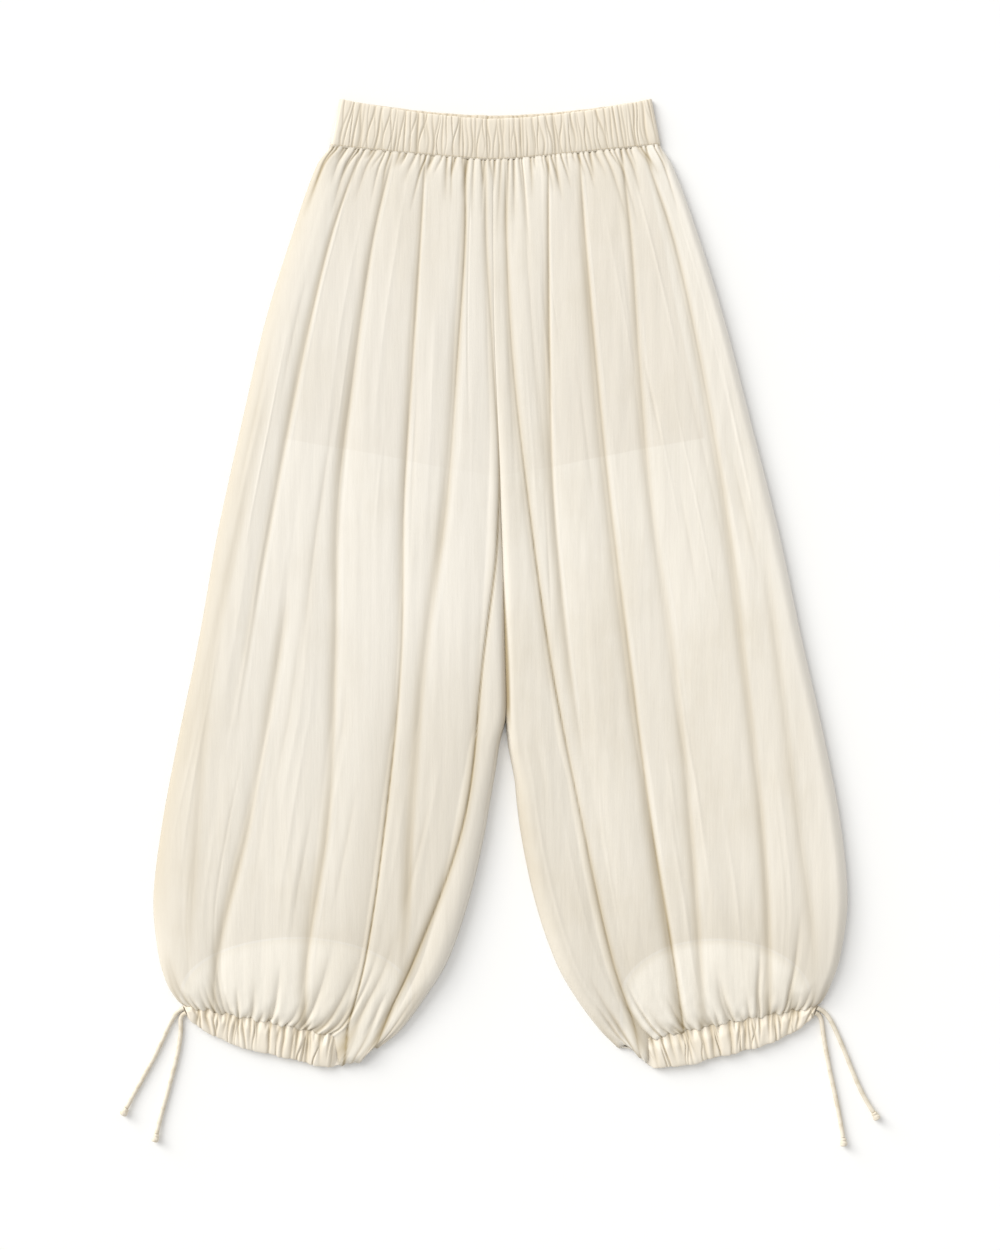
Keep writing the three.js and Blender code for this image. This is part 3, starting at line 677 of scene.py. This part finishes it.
def layer_tones(shader, tone):
    """The lining's and the facings' shapes as they show through the cloth."""
    x, y = shader.axes.outputs["X"], shader.axes.outputs["Y"]
    wander = shader.math("MULTIPLY", shader.math("SUBTRACT", shader.noise((9, 9, 9)), 0.5), 0.006)
    top, hem = LINING_SECTIONS[0], LINING_SECTIONS[-1]
    aside = shader.math("ABSOLUTE", shader.math("SUBTRACT", x, LINING_CENTRE * MM))
    hem_slope = (hem["outer_y"] - hem["inner_y"]) / (hem["outer_x"] - hem["inner_x"])
    hem_y = shader.math("ADD", shader.math("MULTIPLY", aside, hem_slope), (hem["inner_y"] - 2) * MM)
    above = shader.math("SUBTRACT", shader.math("ADD", y, wander), hem_y)
    side_slope = (hem["outer_x"] - top["outer_x"]) / (top["outer_y"] - hem["outer_y"])
    down = shader.math("SUBTRACT", top["outer_y"] * MM, y)
    side_x = shader.math("ADD", shader.math("MULTIPLY", down, side_slope), top["outer_x"] * MM)
    within = shader.math("SUBTRACT", shader.math("ADD", side_x, wander), aside)
    above_hem = shader.ramp(above, -0.001, 0.001)
    on_lining = shader.math("MULTIPLY", above_hem, shader.ramp(within, -0.0015, 0.0015))
    clear = shader.math("ADD", shader.math("MULTIPLY", shader.ramp(aside, 0.02, 0.09), 0.65), 0.35)
    tone = shader.mix(shader.math("MULTIPLY", on_lining, clear), tone, CREPE_OVER_LINING)
    for arch in FACING.values():
        across = shader.math("DIVIDE", shader.math("SUBTRACT", x, arch["x"] * MM), arch["half"] * MM)
        rise = shader.math("MAXIMUM", shader.math("SUBTRACT", y, arch["spring"] * MM), 0)
        upward = shader.math("DIVIDE", rise, arch["rise"] * MM)
        squared = shader.math("ADD", shader.math("POWER", across, 2), shader.math("POWER", upward, 2))
        inside = shader.math("SUBTRACT", 1, squared)
        tone = shader.mix(shader.ramp(inside, -0.015, 0.015), tone, CREPE_OVER_FACING)
        edge = shader.math("SUBTRACT", shader.ramp(inside, -0.01, 0.012), shader.ramp(inside, 0.05, 0.085))
        tone = shader.mix(shader.math("MULTIPLY", edge, 0.7), tone, CREPE_GLEAM)
    return tone


def plain_cloth(name, tone, shade, alpha=1.0):
    shader = Shader(name, roughness=0.8, sheen=0.15, alpha=alpha)
    weave = shader.noise((700, 700, 700), detail=2)
    patches = shader.ramp(shader.noise((16, 9, 16), detail=3), 0.4, 0.75)
    shader.feed(shader.mix(shader.math("MULTIPLY", patches, 0.4), tone, shade), "Base Color")
    shader.bump(weave, 0.0003, 0.4)
    return shader.material


def cord_cloth():
    shader = Shader("rolled_cord_cloth", roughness=0.75, sheen=0.2)
    grain = shader.noise((900, 900, 900), detail=3)
    puckers = shader.noise((160, 160, 160), detail=2)
    tone = shader.mix(shader.math("MULTIPLY", shader.ramp(puckers, 0.4, 0.7), 0.55), CORD_TONE, CORD_SHADE)
    shader.feed(tone, "Base Color")
    shader.bump(shader.math("ADD", grain, shader.math("MULTIPLY", puckers, 2)), 0.0004, 0.5)
    return shader.material


SHEER = outer_cloth("sheer_crepe", CREPE, alpha=0.9, shows_layers=True)
CASING = outer_cloth("gathered_crepe", GATHERED_CREPE, alpha=1.0)
BACK = outer_cloth("sheer_crepe_back", CREPE, alpha=0.92, shades=False)
LINING = plain_cloth("lining_weave", LINING_TONE, srgb(216, 205, 186))
FACING_CLOTH = plain_cloth("facing_weave", FACING_TONE, srgb(232, 223, 206))
THREAD = plain_cloth("sewing_thread", THREAD_TONE, srgb(205, 190, 162))
CORD_CLOTH = cord_cloth()


# Camera and light


def camera_and_light():
    lens = 85
    sensor = 36
    look_height = 0.008
    reach = PHOTO_HEIGHT_PX * PHOTO_MM_PER_PIXEL * MM * lens / sensor
    data = bpy.data.cameras.new("camera")
    data.sensor_fit = "VERTICAL"
    data.sensor_height = sensor
    data.sensor_width = sensor
    data.lens = lens
    camera = bpy.data.objects.new("camera", data)
    camera.location = (
        (PHOTO_CENTRE_PX[0] - ORIGIN_PX[0]) * PHOTO_MM_PER_PIXEL * MM,
        (ORIGIN_PX[1] - PHOTO_CENTRE_PX[1]) * PHOTO_MM_PER_PIXEL * MM,
        look_height + reach,
    )
    bpy.context.scene.collection.objects.link(camera)
    bpy.context.scene.camera = camera
    for name, energy, angle, rise in (("key", 1.65, 42, 38), ("low_key", 1.2, 32, 16)):
        light = bpy.data.lights.new(name, "SUN")
        light.angle = math.radians(angle)
        light.energy = energy
        light.color = (1.0, 0.993, 0.98)
        lamp = bpy.data.objects.new(name, light)
        lamp.location = (-1, 0.8, math.tan(math.radians(rise)) * math.hypot(1, 0.8))
        lamp.rotation_euler = (-lamp.location).to_track_quat("-Z", "Y").to_euler()
        bpy.context.scene.collection.objects.link(lamp)
    world = bpy.data.worlds.new("studio")
    world.use_nodes = True
    world.node_tree.nodes["Background"].inputs["Color"].default_value = (1, 0.995, 0.985, 1)
    world.node_tree.nodes["Background"].inputs["Strength"].default_value = 0.63
    bpy.context.scene.world = world
    bpy.context.scene.view_settings.view_transform = "Standard"


def floor():
    bm = bmesh.new()
    bmesh.ops.create_grid(bm, x_segments=1, y_segments=1, size=6)
    bmesh.ops.translate(bm, verts=bm.verts, vec=(0, 0, -0.0003))
    shader = Shader("pale_paper", roughness=0.95, sheen=0.0)
    paper = shader.noise((3, 3, 3), detail=2)
    tone = shader.mix(shader.math("MULTIPLY", paper, 0.2), srgb(252, 252, 251), srgb(249, 249, 248))
    shader.feed(tone, "Base Color")
    finish_mesh("floor", bm, shader.material)


# Cords and knots


def cord_end(leg_name, end):
    leg = LEGS[leg_name]
    name = f"{leg_name}_{end}"
    route = [Vector((x * leg["sign"], y, z)) * MM for x, y, z in CORD_ROUTES[name]]
    curve = bpy.data.curves.new(f"drawcord_{name}", "CURVE")
    curve.dimensions = "3D"
    curve.bevel_depth = CORD_DIAMETER / 2 * MM
    curve.bevel_resolution = 4
    curve.resolution_u = 6
    curve.use_fill_caps = True
    spline = curve.splines.new("BEZIER")
    spline.bezier_points.add(len(route) - 1)
    for point, place in zip(spline.bezier_points, route):
        point.co = place
        point.handle_left_type = "AUTO"
        point.handle_right_type = "AUTO"
    curve.materials.append(CORD_CLOTH)
    cord = bpy.data.objects.new(f"drawcord_{name}", curve)
    bpy.context.scene.collection.objects.link(cord)
    settle(cord, "cord", f"cord_{name}")
    knot = cord_knot(name, route)


# Radius and height of the knot's outline.
KNOT_PROFILE = (
    (0.6, 0), (2.1, 0.1), (2.9, 0.9), (3.3, 1.9), (3, 2.9), (2.9, 3.4), (3.4, 4.3), (3.8, 5.6), (3.8, 7),
    (3.5, 8.1), (2.6, 8.7), (1.2, 8.8),
)


def cord_knot(name, route):
    """Two tight wraps of the cord and its cut end, turned about the cord's line."""
    bm = bmesh.new()
    profile = [bm.verts.new((radius * MM, 0, height * MM)) for radius, height in KNOT_PROFILE]
    edges = [bm.edges.new(pair) for pair in zip(profile, profile[1:])]
    bmesh.ops.spin(
        bm, geom=profile + edges, axis=(0, 0, 1), cent=(0, 0, 0), angle=2 * math.pi, steps=28, use_merge=True,
    )
    bmesh.ops.remove_doubles(bm, verts=bm.verts, dist=1e-6)
    bmesh.ops.holes_fill(bm, edges=[edge for edge in bm.edges if edge.is_boundary])
    bmesh.ops.recalc_face_normals(bm, faces=bm.faces)
    bmesh.ops.subdivide_edges(bm, edges=bm.edges, cuts=1, use_grid_fill=True)
    for vert in bm.verts:
        around = math.atan2(vert.co.y, vert.co.x)
        wrap = math.sin(2 * around + vert.co.z / MM * 1.7)
        swell = 1 + 0.05 * wrap + 0.03 * math.sin(5 * around + vert.co.z / MM)
        vert.co.x *= swell
        vert.co.y *= swell
    tip = route[-1]
    direction = (tip - route[-2])
    direction.z = 0
    turn = direction.to_track_quat("Z", "X").to_matrix().to_4x4()
    place = Matrix.Translation(tip + direction.normalized() * 0.2 * MM)
    bmesh.ops.transform(bm, matrix=place @ turn, verts=bm.verts)
    return settle(finish_mesh(f"cord_knot_{name}", bm, CORD_CLOTH), "cord", f"knot_{name}")


# Legs


# Where each leg's cloth hangs over the inner end of its cuff: how far down at shares across the leg, and how
# far the cuff's edge draws back below it at shares across the cuff.
LOBES = {
    "right": {
        "across": (0.77, 0.79, 0.837, 0.88, 0.915, 0.951, 0.977, 1), "down": (0, 27, 26, 22, 16.5, 7, 1, 0),
        "cuff_across": (0.78, 0.81, 0.86, 0.94, 0.98, 1), "drawn": (0, 3.5, 4, 9, 14, 17),
        "top": 10.4, "run": 44,
    },
    "left": {
        "across": (0.83, 0.845, 0.86, 0.88, 0.9, 0.935, 0.97, 1), "down": (0, 21, 24, 18, 12, 4, 1, 0),
        "cuff_across": (0.87, 0.9, 0.95, 1), "drawn": (0, 4, 11, 17),
        "top": 9.5, "run": 34,
    },
}
# Height of each leg's inner edge down the leg, above what the sides' edges have.
INNER_LIFT = {
    "right": table(("v", "z"), [
        (0, 7.4), (0.1, 12.4), (0.2, 13.8), (0.3, 13), (0.38, 10), (0.44, 7), (0.7, 7), (0.78, 7), (0.95, 8),
        (1, 5),
    ]),
    "left": table(("v", "z"), [
        (0, 7.4), (0.1, 12.4), (0.2, 13.8), (0.3, 13), (0.38, 10), (0.44, 6), (0.7, 4.4), (0.78, 2), (1, 1.4),
    ]),
}
# How much of each leg's width rounds down to its side seam, at the waist's corner and below it, and how much
# rounds down to its inner edge, where the legs lie together and where they are parted.
WAIST_CORNER = 0.025
SIDE_ROUND = {"right": 0.13, "left": 0.04}
INNER_ROUND = (0.035, 0.05)
# Painted shade and painted light on each leg, mixed in through its shade and gleam: painted shade at the side
# and inside edges whose round faces the light, and in the wedge where it lies beside the other leg; the calf,
# the ankle and the right leg's inner third darker. The far ones and bright are painted light, on the edges
# that face away from the light and over the upper part of the right leg.
LEG_SHADE_AND_GLEAM = {
    "right": {
        "side": 0.5, "inside": 0, "between": 0.2, "calf": 0.05, "ankle": 0.06, "bright": 0.3, "far_side": 0,
        "far_inside": 0.9, "inner_third": 0.13,
    },
    "left": {
        "side": 0, "inside": 0.4, "between": 0.85, "calf": 0.09, "ankle": 0.16, "bright": 0, "far_side": 1,
        "far_inside": 0, "inner_third": 0,
    },
}
# Soft steps down the leg, as shares of its length.
CROTCH = (0.4, 0.46)
PARTING = (0.62, 0.78)
CLOSING = (0.62, 0.66)
CALF = (0.45, 0.65)
LOW_LEG = (0.8, 0.92)
# Millimetres by which the gathers draw the cloth down at both seams, how far from the seam that fades, how
# far the leg's cloth laps over the waistband's edge, and the rounded lip of what hangs over a cuff.
WAIST_PINCH = 1.6
CUFF_PINCH = 0.8
PINCH_RUN = 8
WAIST_LAP = 1.6
LOBE_LIP = 6
LOBE_LIP_DROP = 0.42


def step(v, reach):
    return float(smoothstep(v, *reach))


def in_arch(arch, x, y):
    """1 well inside a facing's arch and 0 outside it."""
    upward = np.maximum(y - arch["spring"], 0) / arch["rise"]
    return smoothstep(1 - ((x - arch["x"]) / arch["half"]) ** 2 - upward ** 2, -0.04, 0.3)


def leg_height(leg_name, u, v, height, shade):
    """Heights of a leg front's row: rounded down to both edges, pinched at the seams, over the cuff's end."""
    lobe = LOBES[leg_name]
    lift = max(SIDE_EDGE_TOP, along(INNER_LIFT[leg_name], "z", v))
    round_share = lerp(WAIST_CORNER, SIDE_ROUND[leg_name], step(v, (0, 0.06)))
    side = SIDE_EDGE_TOP + (height - SIDE_EDGE_TOP) * rounded(u / round_share)
    z = lift + (side - lift) * rounded((1 - u) / lerp(*INNER_ROUND, step(v, PARTING)))
    from_waist = v * LEG_LENGTH
    from_cuff = (1 - v) * LEG_LENGTH
    hangs = smoothstep(u, *lobe["across"][:2])
    near = max(0, 1 - from_cuff / lobe["run"])
    pinch = CUFF_PINCH * math.exp(-from_cuff / PINCH_RUN) * (1 - hangs)
    z = z - (WAIST_PINCH * math.exp(-from_waist / PINCH_RUN) + pinch) * np.minimum(1, z / 7)
    top = SIDE_EDGE_TOP + (lobe["top"] - 1.2 * shade - SIDE_EDGE_TOP) * rounded((1 - u) / 0.09)
    z = lerp(z, np.maximum(z, top), hangs * min(1, 3 * near))
    lip = 1 - float(rounded(from_cuff / LOBE_LIP))
    z = z - LOBE_LIP_DROP * (z - SIDE_EDGE_TOP) * hangs * lip
    return lerp(z, SIDE_EDGE_TOP, step(v, CLOSING) * smoothstep(u, 0.99, 1))


def leg_tones(leg_name, u, v, x, y, shade, gleam):
    """The creases' shade and gleam over one row, with painted shade and painted light on the leg's round and
    over its facing.
    """
    tone = LEG_SHADE_AND_GLEAM[leg_name]
    parted = step(v, PARTING)
    low_leg = step(v, LOW_LEG)
    wedge = 0.004 + 0.013 * step(v, (0.44, 0.58))
    beside = step(v, CROTCH) * (1 - step(v, (0.61, 0.65)))
    near_side = np.exp(-(1 - u) / 0.05)
    shade += 0.05 * math.exp(-v * LEG_LENGTH / 1.6)
    shade += tone["side"] * (1 - 0.7 * low_leg) * np.exp(-u / 0.065)
    shade += tone["inside"] * parted * (1 - 0.6 * low_leg) * near_side
    shade += 0.1 * (1 - parted) * near_side
    shade += tone["between"] * beside * (1 - smoothstep(1 - u, 0.7 * wedge, 1.3 * wedge))
    shade += tone["calf"] * step(v, CALF)
    shade += tone["ankle"] * low_leg * (1 - 0.8 * smoothstep(u, 0.72, 0.88))
    shade += tone["inner_third"] * step(v, (0.5, 0.66)) * smoothstep(u, 0.55, 0.68)
    # Painted light over the facing's arch: the calf and ankle shade taken off and a little gleam added.
    over_facing = in_arch(FACING[leg_name], x, y)
    shade -= 0.9 * (tone["calf"] + tone["ankle"]) * over_facing
    gleam += 0.1 * over_facing
    gleam += tone["bright"] * (step(v, (0.02, 0.2)) * (1 - step(v, (0.55, 0.8))))
    gleam += tone["far_side"] * np.exp(-u / (0.035 + 0.03 * low_leg))
    gleam += tone["far_inside"] * parted * np.exp(-(1 - u) / 0.04)
    return {"shade": np.clip(shade, 0, 1), "gleam": np.clip(gleam, 0, 1)}


def leg_row(leg_name, u, v):
    """Points of a leg front's row v over shares u, in millimetres, with their tones."""
    lobe = LOBES[leg_name]
    x, y = leg_plan(LEGS[leg_name], u, v)
    height, shade, gleam = front_surface(LEGS[leg_name], u, v, x, y)
    z = leg_height(leg_name, u, v, height, shade)
    near = max(0, 1 - (1 - v) * LEG_LENGTH / lobe["run"])
    hangs_by = np.interp(u, lobe["across"], lobe["down"]) * near ** 1.5
    y = y - hangs_by + WAIST_LAP * math.exp(-v * LEG_LENGTH / 1.5)
    if leg_name == "right":
        laps_by = (1 + 1.6 * step(v, CROTCH)) * (1 - step(v, (0.6, 0.64)))
        x = x + laps_by * smoothstep(u, 0.9, 1)
    return x, y, z, leg_tones(leg_name, u, v, x, y, shade, gleam)


def leg_front(leg_name):
    def row_points(u, t):
        return leg_row(leg_name, u, denser_ends(t))

    piece = sheet_piece(f"{leg_name}_leg_front", 290, 158, row_points, (0.36, 0.93), SHEER)
    settle(piece, "outer_cloth", f"leg_front_{leg_name}")


def leg_back(leg_name):
    leg = LEGS[leg_name]

    def row_points(u, t):
        v = denser_ends(t)
        x, y = leg_plan(leg, u, v)
        ripple = 0.12 * np.sin(u * 60 + 3 * v) * np.minimum(1, 12 * u * (1 - u))
        return x, y, BACK_TOP - 0.15 + ripple, {}

    piece = sheet_piece(f"{leg_name}_leg_back", 72, 80, row_points, (0.36, 0.93), BACK)
    settle(piece, "outer_cloth", f"leg_back_{leg_name}")


def lining_leg(leg_name, side, top):
    leg = LEGS[leg_name]

    def row_points(u, v):
        outer_x = LINING_CENTRE + along(LINING_SECTIONS, "outer_x", v) * leg["sign"]
        inner_x = LINING_CENTRE + along(LINING_SECTIONS, "inner_x", v) * leg["sign"]
        x = lerp(outer_x, inner_x, u)
        y = lerp(along(LINING_SECTIONS, "outer_y", v), along(LINING_SECTIONS, "inner_y", v), u)
        near_waist = 1 - smoothstep(v, 0, 0.25)
        y = lerp(y, np.minimum(y, seam_y(x) - 0.3), near_waist)
        ripple = 0.2 * np.sin(u * 34 + 2 * v) * np.minimum(1, 8 * u * (1 - u))
        hem = 0.3 * float(smoothstep(v, 0.955, 0.96))
        return x, y, top + ripple + hem, {}

    piece = sheet_piece(f"{leg_name}_lining_{side}", 56, 60, row_points, (0.2, 0.32), LINING, shell=0.35)
    settle(piece, "lining_cloth", f"lining_{side}_{leg_name}")


def leg_foot_y(leg, x):
    """The leg's lower boundary in plan at x: its cuff seam, and beyond it the leg's inner edge."""
    seam_x, seam_y_row = leg_plan(leg, np.linspace(0, 1, 41), 1)
    edge = [leg_plan(leg, np.ones(1), v) for v in np.linspace(0.995, 0.9, 20)]
    foot_x = np.concatenate([seam_x, *[point[0] for point in edge]])
    foot_y = np.concatenate([seam_y_row, *[point[1] for point in edge]])
    order = np.argsort(foot_x)
    return np.interp(x, foot_x[order], foot_y[order])


def facing(leg_name):
    leg = LEGS[leg_name]
    arch = FACING[leg_name]

    def row_points(u, v):
        ends = sorted((arch["x"] - 0.97 * arch["half"], arch["x"] + 0.97 * arch["half"]), key=abs)
        x = lerp(min(abs(ends[1]), 325), abs(ends[0]), u) * leg["sign"]
        across = (x - arch["x"]) / arch["half"]
        top = arch["spring"] + arch["rise"] * np.sqrt(1 - across ** 2)
        foot = leg_foot_y(leg, x) + 1
        y = lerp(np.maximum(top, foot + 4), foot, v)
        return x, y, FACING_TOP + 0.15 * np.sin(x / 4), {}

    piece = sheet_piece(f"{leg_name}_cuff_facing", 70, 30, row_points, (0.2, 0.1), FACING_CLOTH, shell=0.35)
    settle(piece, "facing_cloth", f"facing_{leg_name}")


# Gathered casings

FACE_SHARE = 0.6
ROLL_SHARE = 0.12
END_RUN = 4


def puckers(count, seed, width, look):
    """Sharp uneven tucks across a strip, strongest at its seam, its middle or its free edge.

    Those of a cuff begin with the tucks that its leg's gathers run into."""
    draw = random.Random(seed)
    tucks = []
    for gather in look.get("gathers", ()):
        reach = gather["reach"] / width
        tucks.append({
            "u": gather["u"] - 0.5 * gather["drift"] / width,
            "lean": gather["drift"] / width,
            "bend": draw.uniform(-1, 1) / width,
            "left": reach,
            "right": reach * 0.8,
            "deep": 0.45 + 0.15 * gather["deep"],
            "middle": 0,
            "reaches": draw.uniform(0.45, 1.2),
        })
    for i in range(count):
        reach = draw.uniform(*look["reach"]) / width
        tucks.append({
            "u": (i + 0.5 + draw.uniform(-0.42, 0.42)) / count,
            "lean": draw.uniform(-1, 1) * look["lean"] / width,
            "bend": draw.uniform(-1, 1) * 0.7 * look["lean"] / width,
            "left": reach * draw.uniform(0.7, 1.3),
            "right": reach * draw.uniform(0.5, 0.9),
            "deep": draw.uniform(0.45, 1),
            "middle": draw.choice((0, 0.5, 0.5, 1)),
            "reaches": draw.uniform(0.55, 1.5),
        })
    return tucks


def casing_rows(plan, look):
    """Rows of a strip of cloth over elastic or cord: up its face, over its edge and back inside.

    plan gives x and y at shares across and a share from the seam (0) to the free edge (1). look has, in
    millimetres, the height of the strip's underside and its thickness, the tucks' depth, reach and lean, how
    far they scallop the edge, the roll over it and the height that closed ends come down to. It also has the
    tucks' number, the tones, where the strip lies smooth, and the leg that it continues or lies under."""
    width = look["width"]
    tucks = puckers(look["tucks"], look["seed"], width, look)
    smooth = look.get("smooth")

    def row_points(u, t):
        face = min(1, t / FACE_SHARE)
        over = clamp((t - FACE_SHARE) / ROLL_SHARE, 0, 1)
        inside = clamp((t - FACE_SHARE - ROLL_SHARE) / (1 - FACE_SHARE - ROLL_SHARE), 0, 1)
        rise = face - inside * 0.97
        tuck = np.zeros_like(u)
        for row in tucks:
            strength = row["deep"] * math.exp(-((rise - row["middle"]) / row["reaches"]) ** 2)
            place = row["u"] + row["lean"] * (rise - 0.5) + row["bend"] * math.sin(rise * 5)
            reach = np.where(u < place, row["left"], row["right"])
            tuck = np.maximum(tuck, strength * valley(u - place, reach))
        sunk = smoothstep(u, *smooth) if smooth else np.zeros_like(u)
        tuck *= 1 - sunk
        puff = np.array([noise.noise((s * width / 11, rise * 1.4, look["seed"])) for s in u])
        pinch = 1 - look["pinch"] * math.exp(-rise / 0.13) - 0.22 * math.exp(-(1 - rise) / 0.1)
        outer = look["base"] + look["thick"] * pinch + look["deep"] * pinch * (1 - tuck + 0.35 * puff)
        inner = look["base"] + 0.25 * (1 - tuck)
        turn = math.pi * over
        z = lerp(inner, outer, 0.5 + 0.5 * math.cos(turn)) if over > 0 else outer
        x, y = plan(u, rise)
        _, edge_y = plan(u, 1)
        outwards = np.sign(edge_y - plan(u, 0)[1])
        bulge = look["roll"] * math.sin(turn) + look["scallop"] * (0.6 - tuck + 0.8 * puff) * rise ** 2
        gape = look.get("gape", 0) * rise * 4 * u * (1 - u)
        # Painted shade in the tucks, an even shade over the whole strip, most on the rear strips that lie
        # under the others, and a darker line along the seam; painted highlight on the puffs.
        shade = look["dark"] * tuck ** 0.8 + look["seam"] * math.exp(-rise / 0.05) + look["even_shade"]
        gleam = 0.35 * np.clip(puff, 0, 1)
        if "leg" in look and not over:
            seam_z = leg_row(look["leg"], u, 1)[2]
            z = lerp(seam_z - 0.35, z, float(smoothstep(rise, 0, 0.4)))
        z = lerp(z, look["base"] + 0.3 + 0.4 * (not inside), sunk) + gape
        if "end" in look:
            low = np.minimum(z, look["end"] + 0.5 * (not inside))
            z = lerp(low, z, rounded(u * width / END_RUN) * rounded((1 - u) * width / END_RUN))
        drawn = 0
        if "over" in look:
            lobe = LOBES[look["over"]]
            drawn = np.interp(u, lobe["cuff_across"], lobe["drawn"])
        y = y + outwards * (bulge - drawn * rise - 0.5 * (tuck - 0.4) * (1 - rise) ** 6)
        return x, y, z, {"shade": np.clip(shade, 0, 1), "gleam": np.clip(gleam, 0, 1)}

    return row_points


def band_plan(top_dip):
    def plan(u, rise):
        bottom_x = lerp(WAIST["left"], WAIST["right"], u)
        top_x = lerp(WAIST["top_left"], WAIST["top_right"], u)
        top_y = top_dip + (WAIST["top_end"] - top_dip) * np.abs(2 * u - 1) ** WAIST["dip_power"]
        return lerp(bottom_x, top_x, rise), lerp(seam_y(bottom_x), top_y, rise)
    return plan


def cuff_plan(leg):
    def plan(u, drop):
        seam_x, seam = leg_plan(leg, u, 1)
        bow = CUFF["bow"] * (1 - np.abs(2 * u - 1) ** CUFF["bow_power"])
        hem_x = lerp(CUFF["outer"][0], CUFF["inner"][0], u) * leg["sign"]
        hem_y = lerp(CUFF["outer"][1], CUFF["inner"][1], u) - bow
        return lerp(seam_x, hem_x, drop), lerp(seam + 0.6, hem_y, drop)
    return plan


BAND_WIDTH = 342
CUFF_WIDTH = 196
BAND_FRONT_LOOK = {
    "seed": 3, "width": BAND_WIDTH, "tucks": 84, "reach": (1.2, 3.6), "lean": 3.4, "base": 3.7, "thick": 2.8,
    "pinch": 0.42, "deep": 1.4, "roll": 0.7, "scallop": 0.7, "gape": 2.2, "dark": 0.5, "even_shade": 0.08,
    "seam": 0.16, "end": 2.4,
}
BAND_BACK_LOOK = {
    "seed": 4, "width": BAND_WIDTH, "tucks": 60, "reach": (1.6, 4.2), "lean": 3, "base": 0.5, "thick": 1.2,
    "pinch": 0.45, "deep": 1.1, "roll": 0.5, "scallop": 0.6, "dark": 0.6, "even_shade": 0.24, "seam": 0.2,
}
CUFF_FRONT_LOOK = {
    "width": CUFF_WIDTH, "tucks": 12, "reach": (1.4, 3.4), "lean": 3.5, "base": 3.4, "thick": 2.6,
    "pinch": 0.2, "deep": 3.2, "roll": 0.9, "scallop": 2.4, "dark": 0.7, "even_shade": 0.03, "seam": 0, "end": 2.2,
}
CUFF_BACK_LOOK = {
    "width": CUFF_WIDTH, "tucks": 32, "reach": (1.5, 4), "lean": 2.6, "base": 0.5, "thick": 1.2,
    "pinch": 0.45, "deep": 1.1, "roll": 0.6, "scallop": 1.6, "dark": 0.7, "even_shade": 0.2, "seam": 0.2,
}


STITCH_LENGTH = 2.6
STITCH_RADIUS = 0.24
STITCH_LIFT = 0.12
STITCH_STEP = 3.4


def seam_stitches(row_points, count, share):
    """A row of short stitches along a strip, just off its seam."""
    bm = bmesh.new()
    u = np.linspace(0.004, 0.996, 2 * count)
    x, y, z, _ = row_points(u, share)
    for i in range(count):
        middle, ahead = (Vector((x[k], y[k], z[k] + STITCH_LIFT)) * MM for k in (2 * i, 2 * i + 1))
        made = bmesh.ops.create_uvsphere(bm, u_segments=8, v_segments=6, radius=1)
        shape = Matrix.Diagonal((STITCH_RADIUS * MM, STITCH_RADIUS * MM, STITCH_LENGTH / 2 * MM, 1))
        turn = (ahead - middle).to_track_quat("Z", "Y").to_matrix().to_4x4()
        bmesh.ops.transform(bm, matrix=Matrix.Translation(middle) @ turn @ shape, verts=made["verts"])
    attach(finish_mesh("waist_seam_stitches", bm, THREAD), "root")


def waistband():
    front_rows = casing_rows(band_plan(WAIST["front_top"] - 1.6), BAND_FRONT_LOOK)
    back_rows = casing_rows(band_plan(WAIST["back_top"] - 0.6), BAND_BACK_LOOK)
    front = sheet_piece("waistband_face", 560, 32, front_rows, (0.34, 0.1), CASING, shell=0.4)
    back = sheet_piece("waistband_rear", 380, 22, back_rows, (0.34, 0.1), CASING, shell=0.4)
    settle(front, "outer_cloth", "waistband_front")
    settle(back, "outer_cloth", "waistband_back")
    seam_stitches(front_rows, round(BAND_WIDTH / STITCH_STEP), 0.03)


def cuff(leg_name):
    plan = cuff_plan(LEGS[leg_name])
    smooth = {"right": (0.755, 0.815), "left": (0.83, 0.9)}[leg_name]
    seed = {"right": 5, "left": 9}[leg_name]
    gathers = LEGS[leg_name]["cuff_gathers"]
    front_look = {
        **CUFF_FRONT_LOOK, "seed": seed, "smooth": smooth, "gathers": gathers, "leg": leg_name,
        "over": leg_name,
    }
    back_look = {**CUFF_BACK_LOOK, "seed": seed + 20, "over": leg_name}
    front_rows = casing_rows(plan, front_look)
    back_rows = casing_rows(plan, back_look)
    front = sheet_piece(f"{leg_name}_cuff_face", 330, 32, front_rows, (0.2, 0.05), CASING, shell=0.4)
    back = sheet_piece(f"{leg_name}_cuff_rear", 200, 22, back_rows, (0.2, 0.05), CASING, shell=0.4)
    settle(front, "outer_cloth", f"cuff_front_{leg_name}")
    settle(back, "outer_cloth", f"cuff_back_{leg_name}")


# Making

camera_and_light()
floor()
for leg_name in LEGS:
    cord_end(leg_name, 1)
    cord_end(leg_name, 2)
for leg_name in LEGS:
    leg_back(leg_name)
    lining_leg(leg_name, "back", LINING_BACK_TOP)
    lining_leg(leg_name, "front", LINING_FRONT_TOP)
    facing(leg_name)
    leg_front(leg_name)
    cuff(leg_name)
waistband()
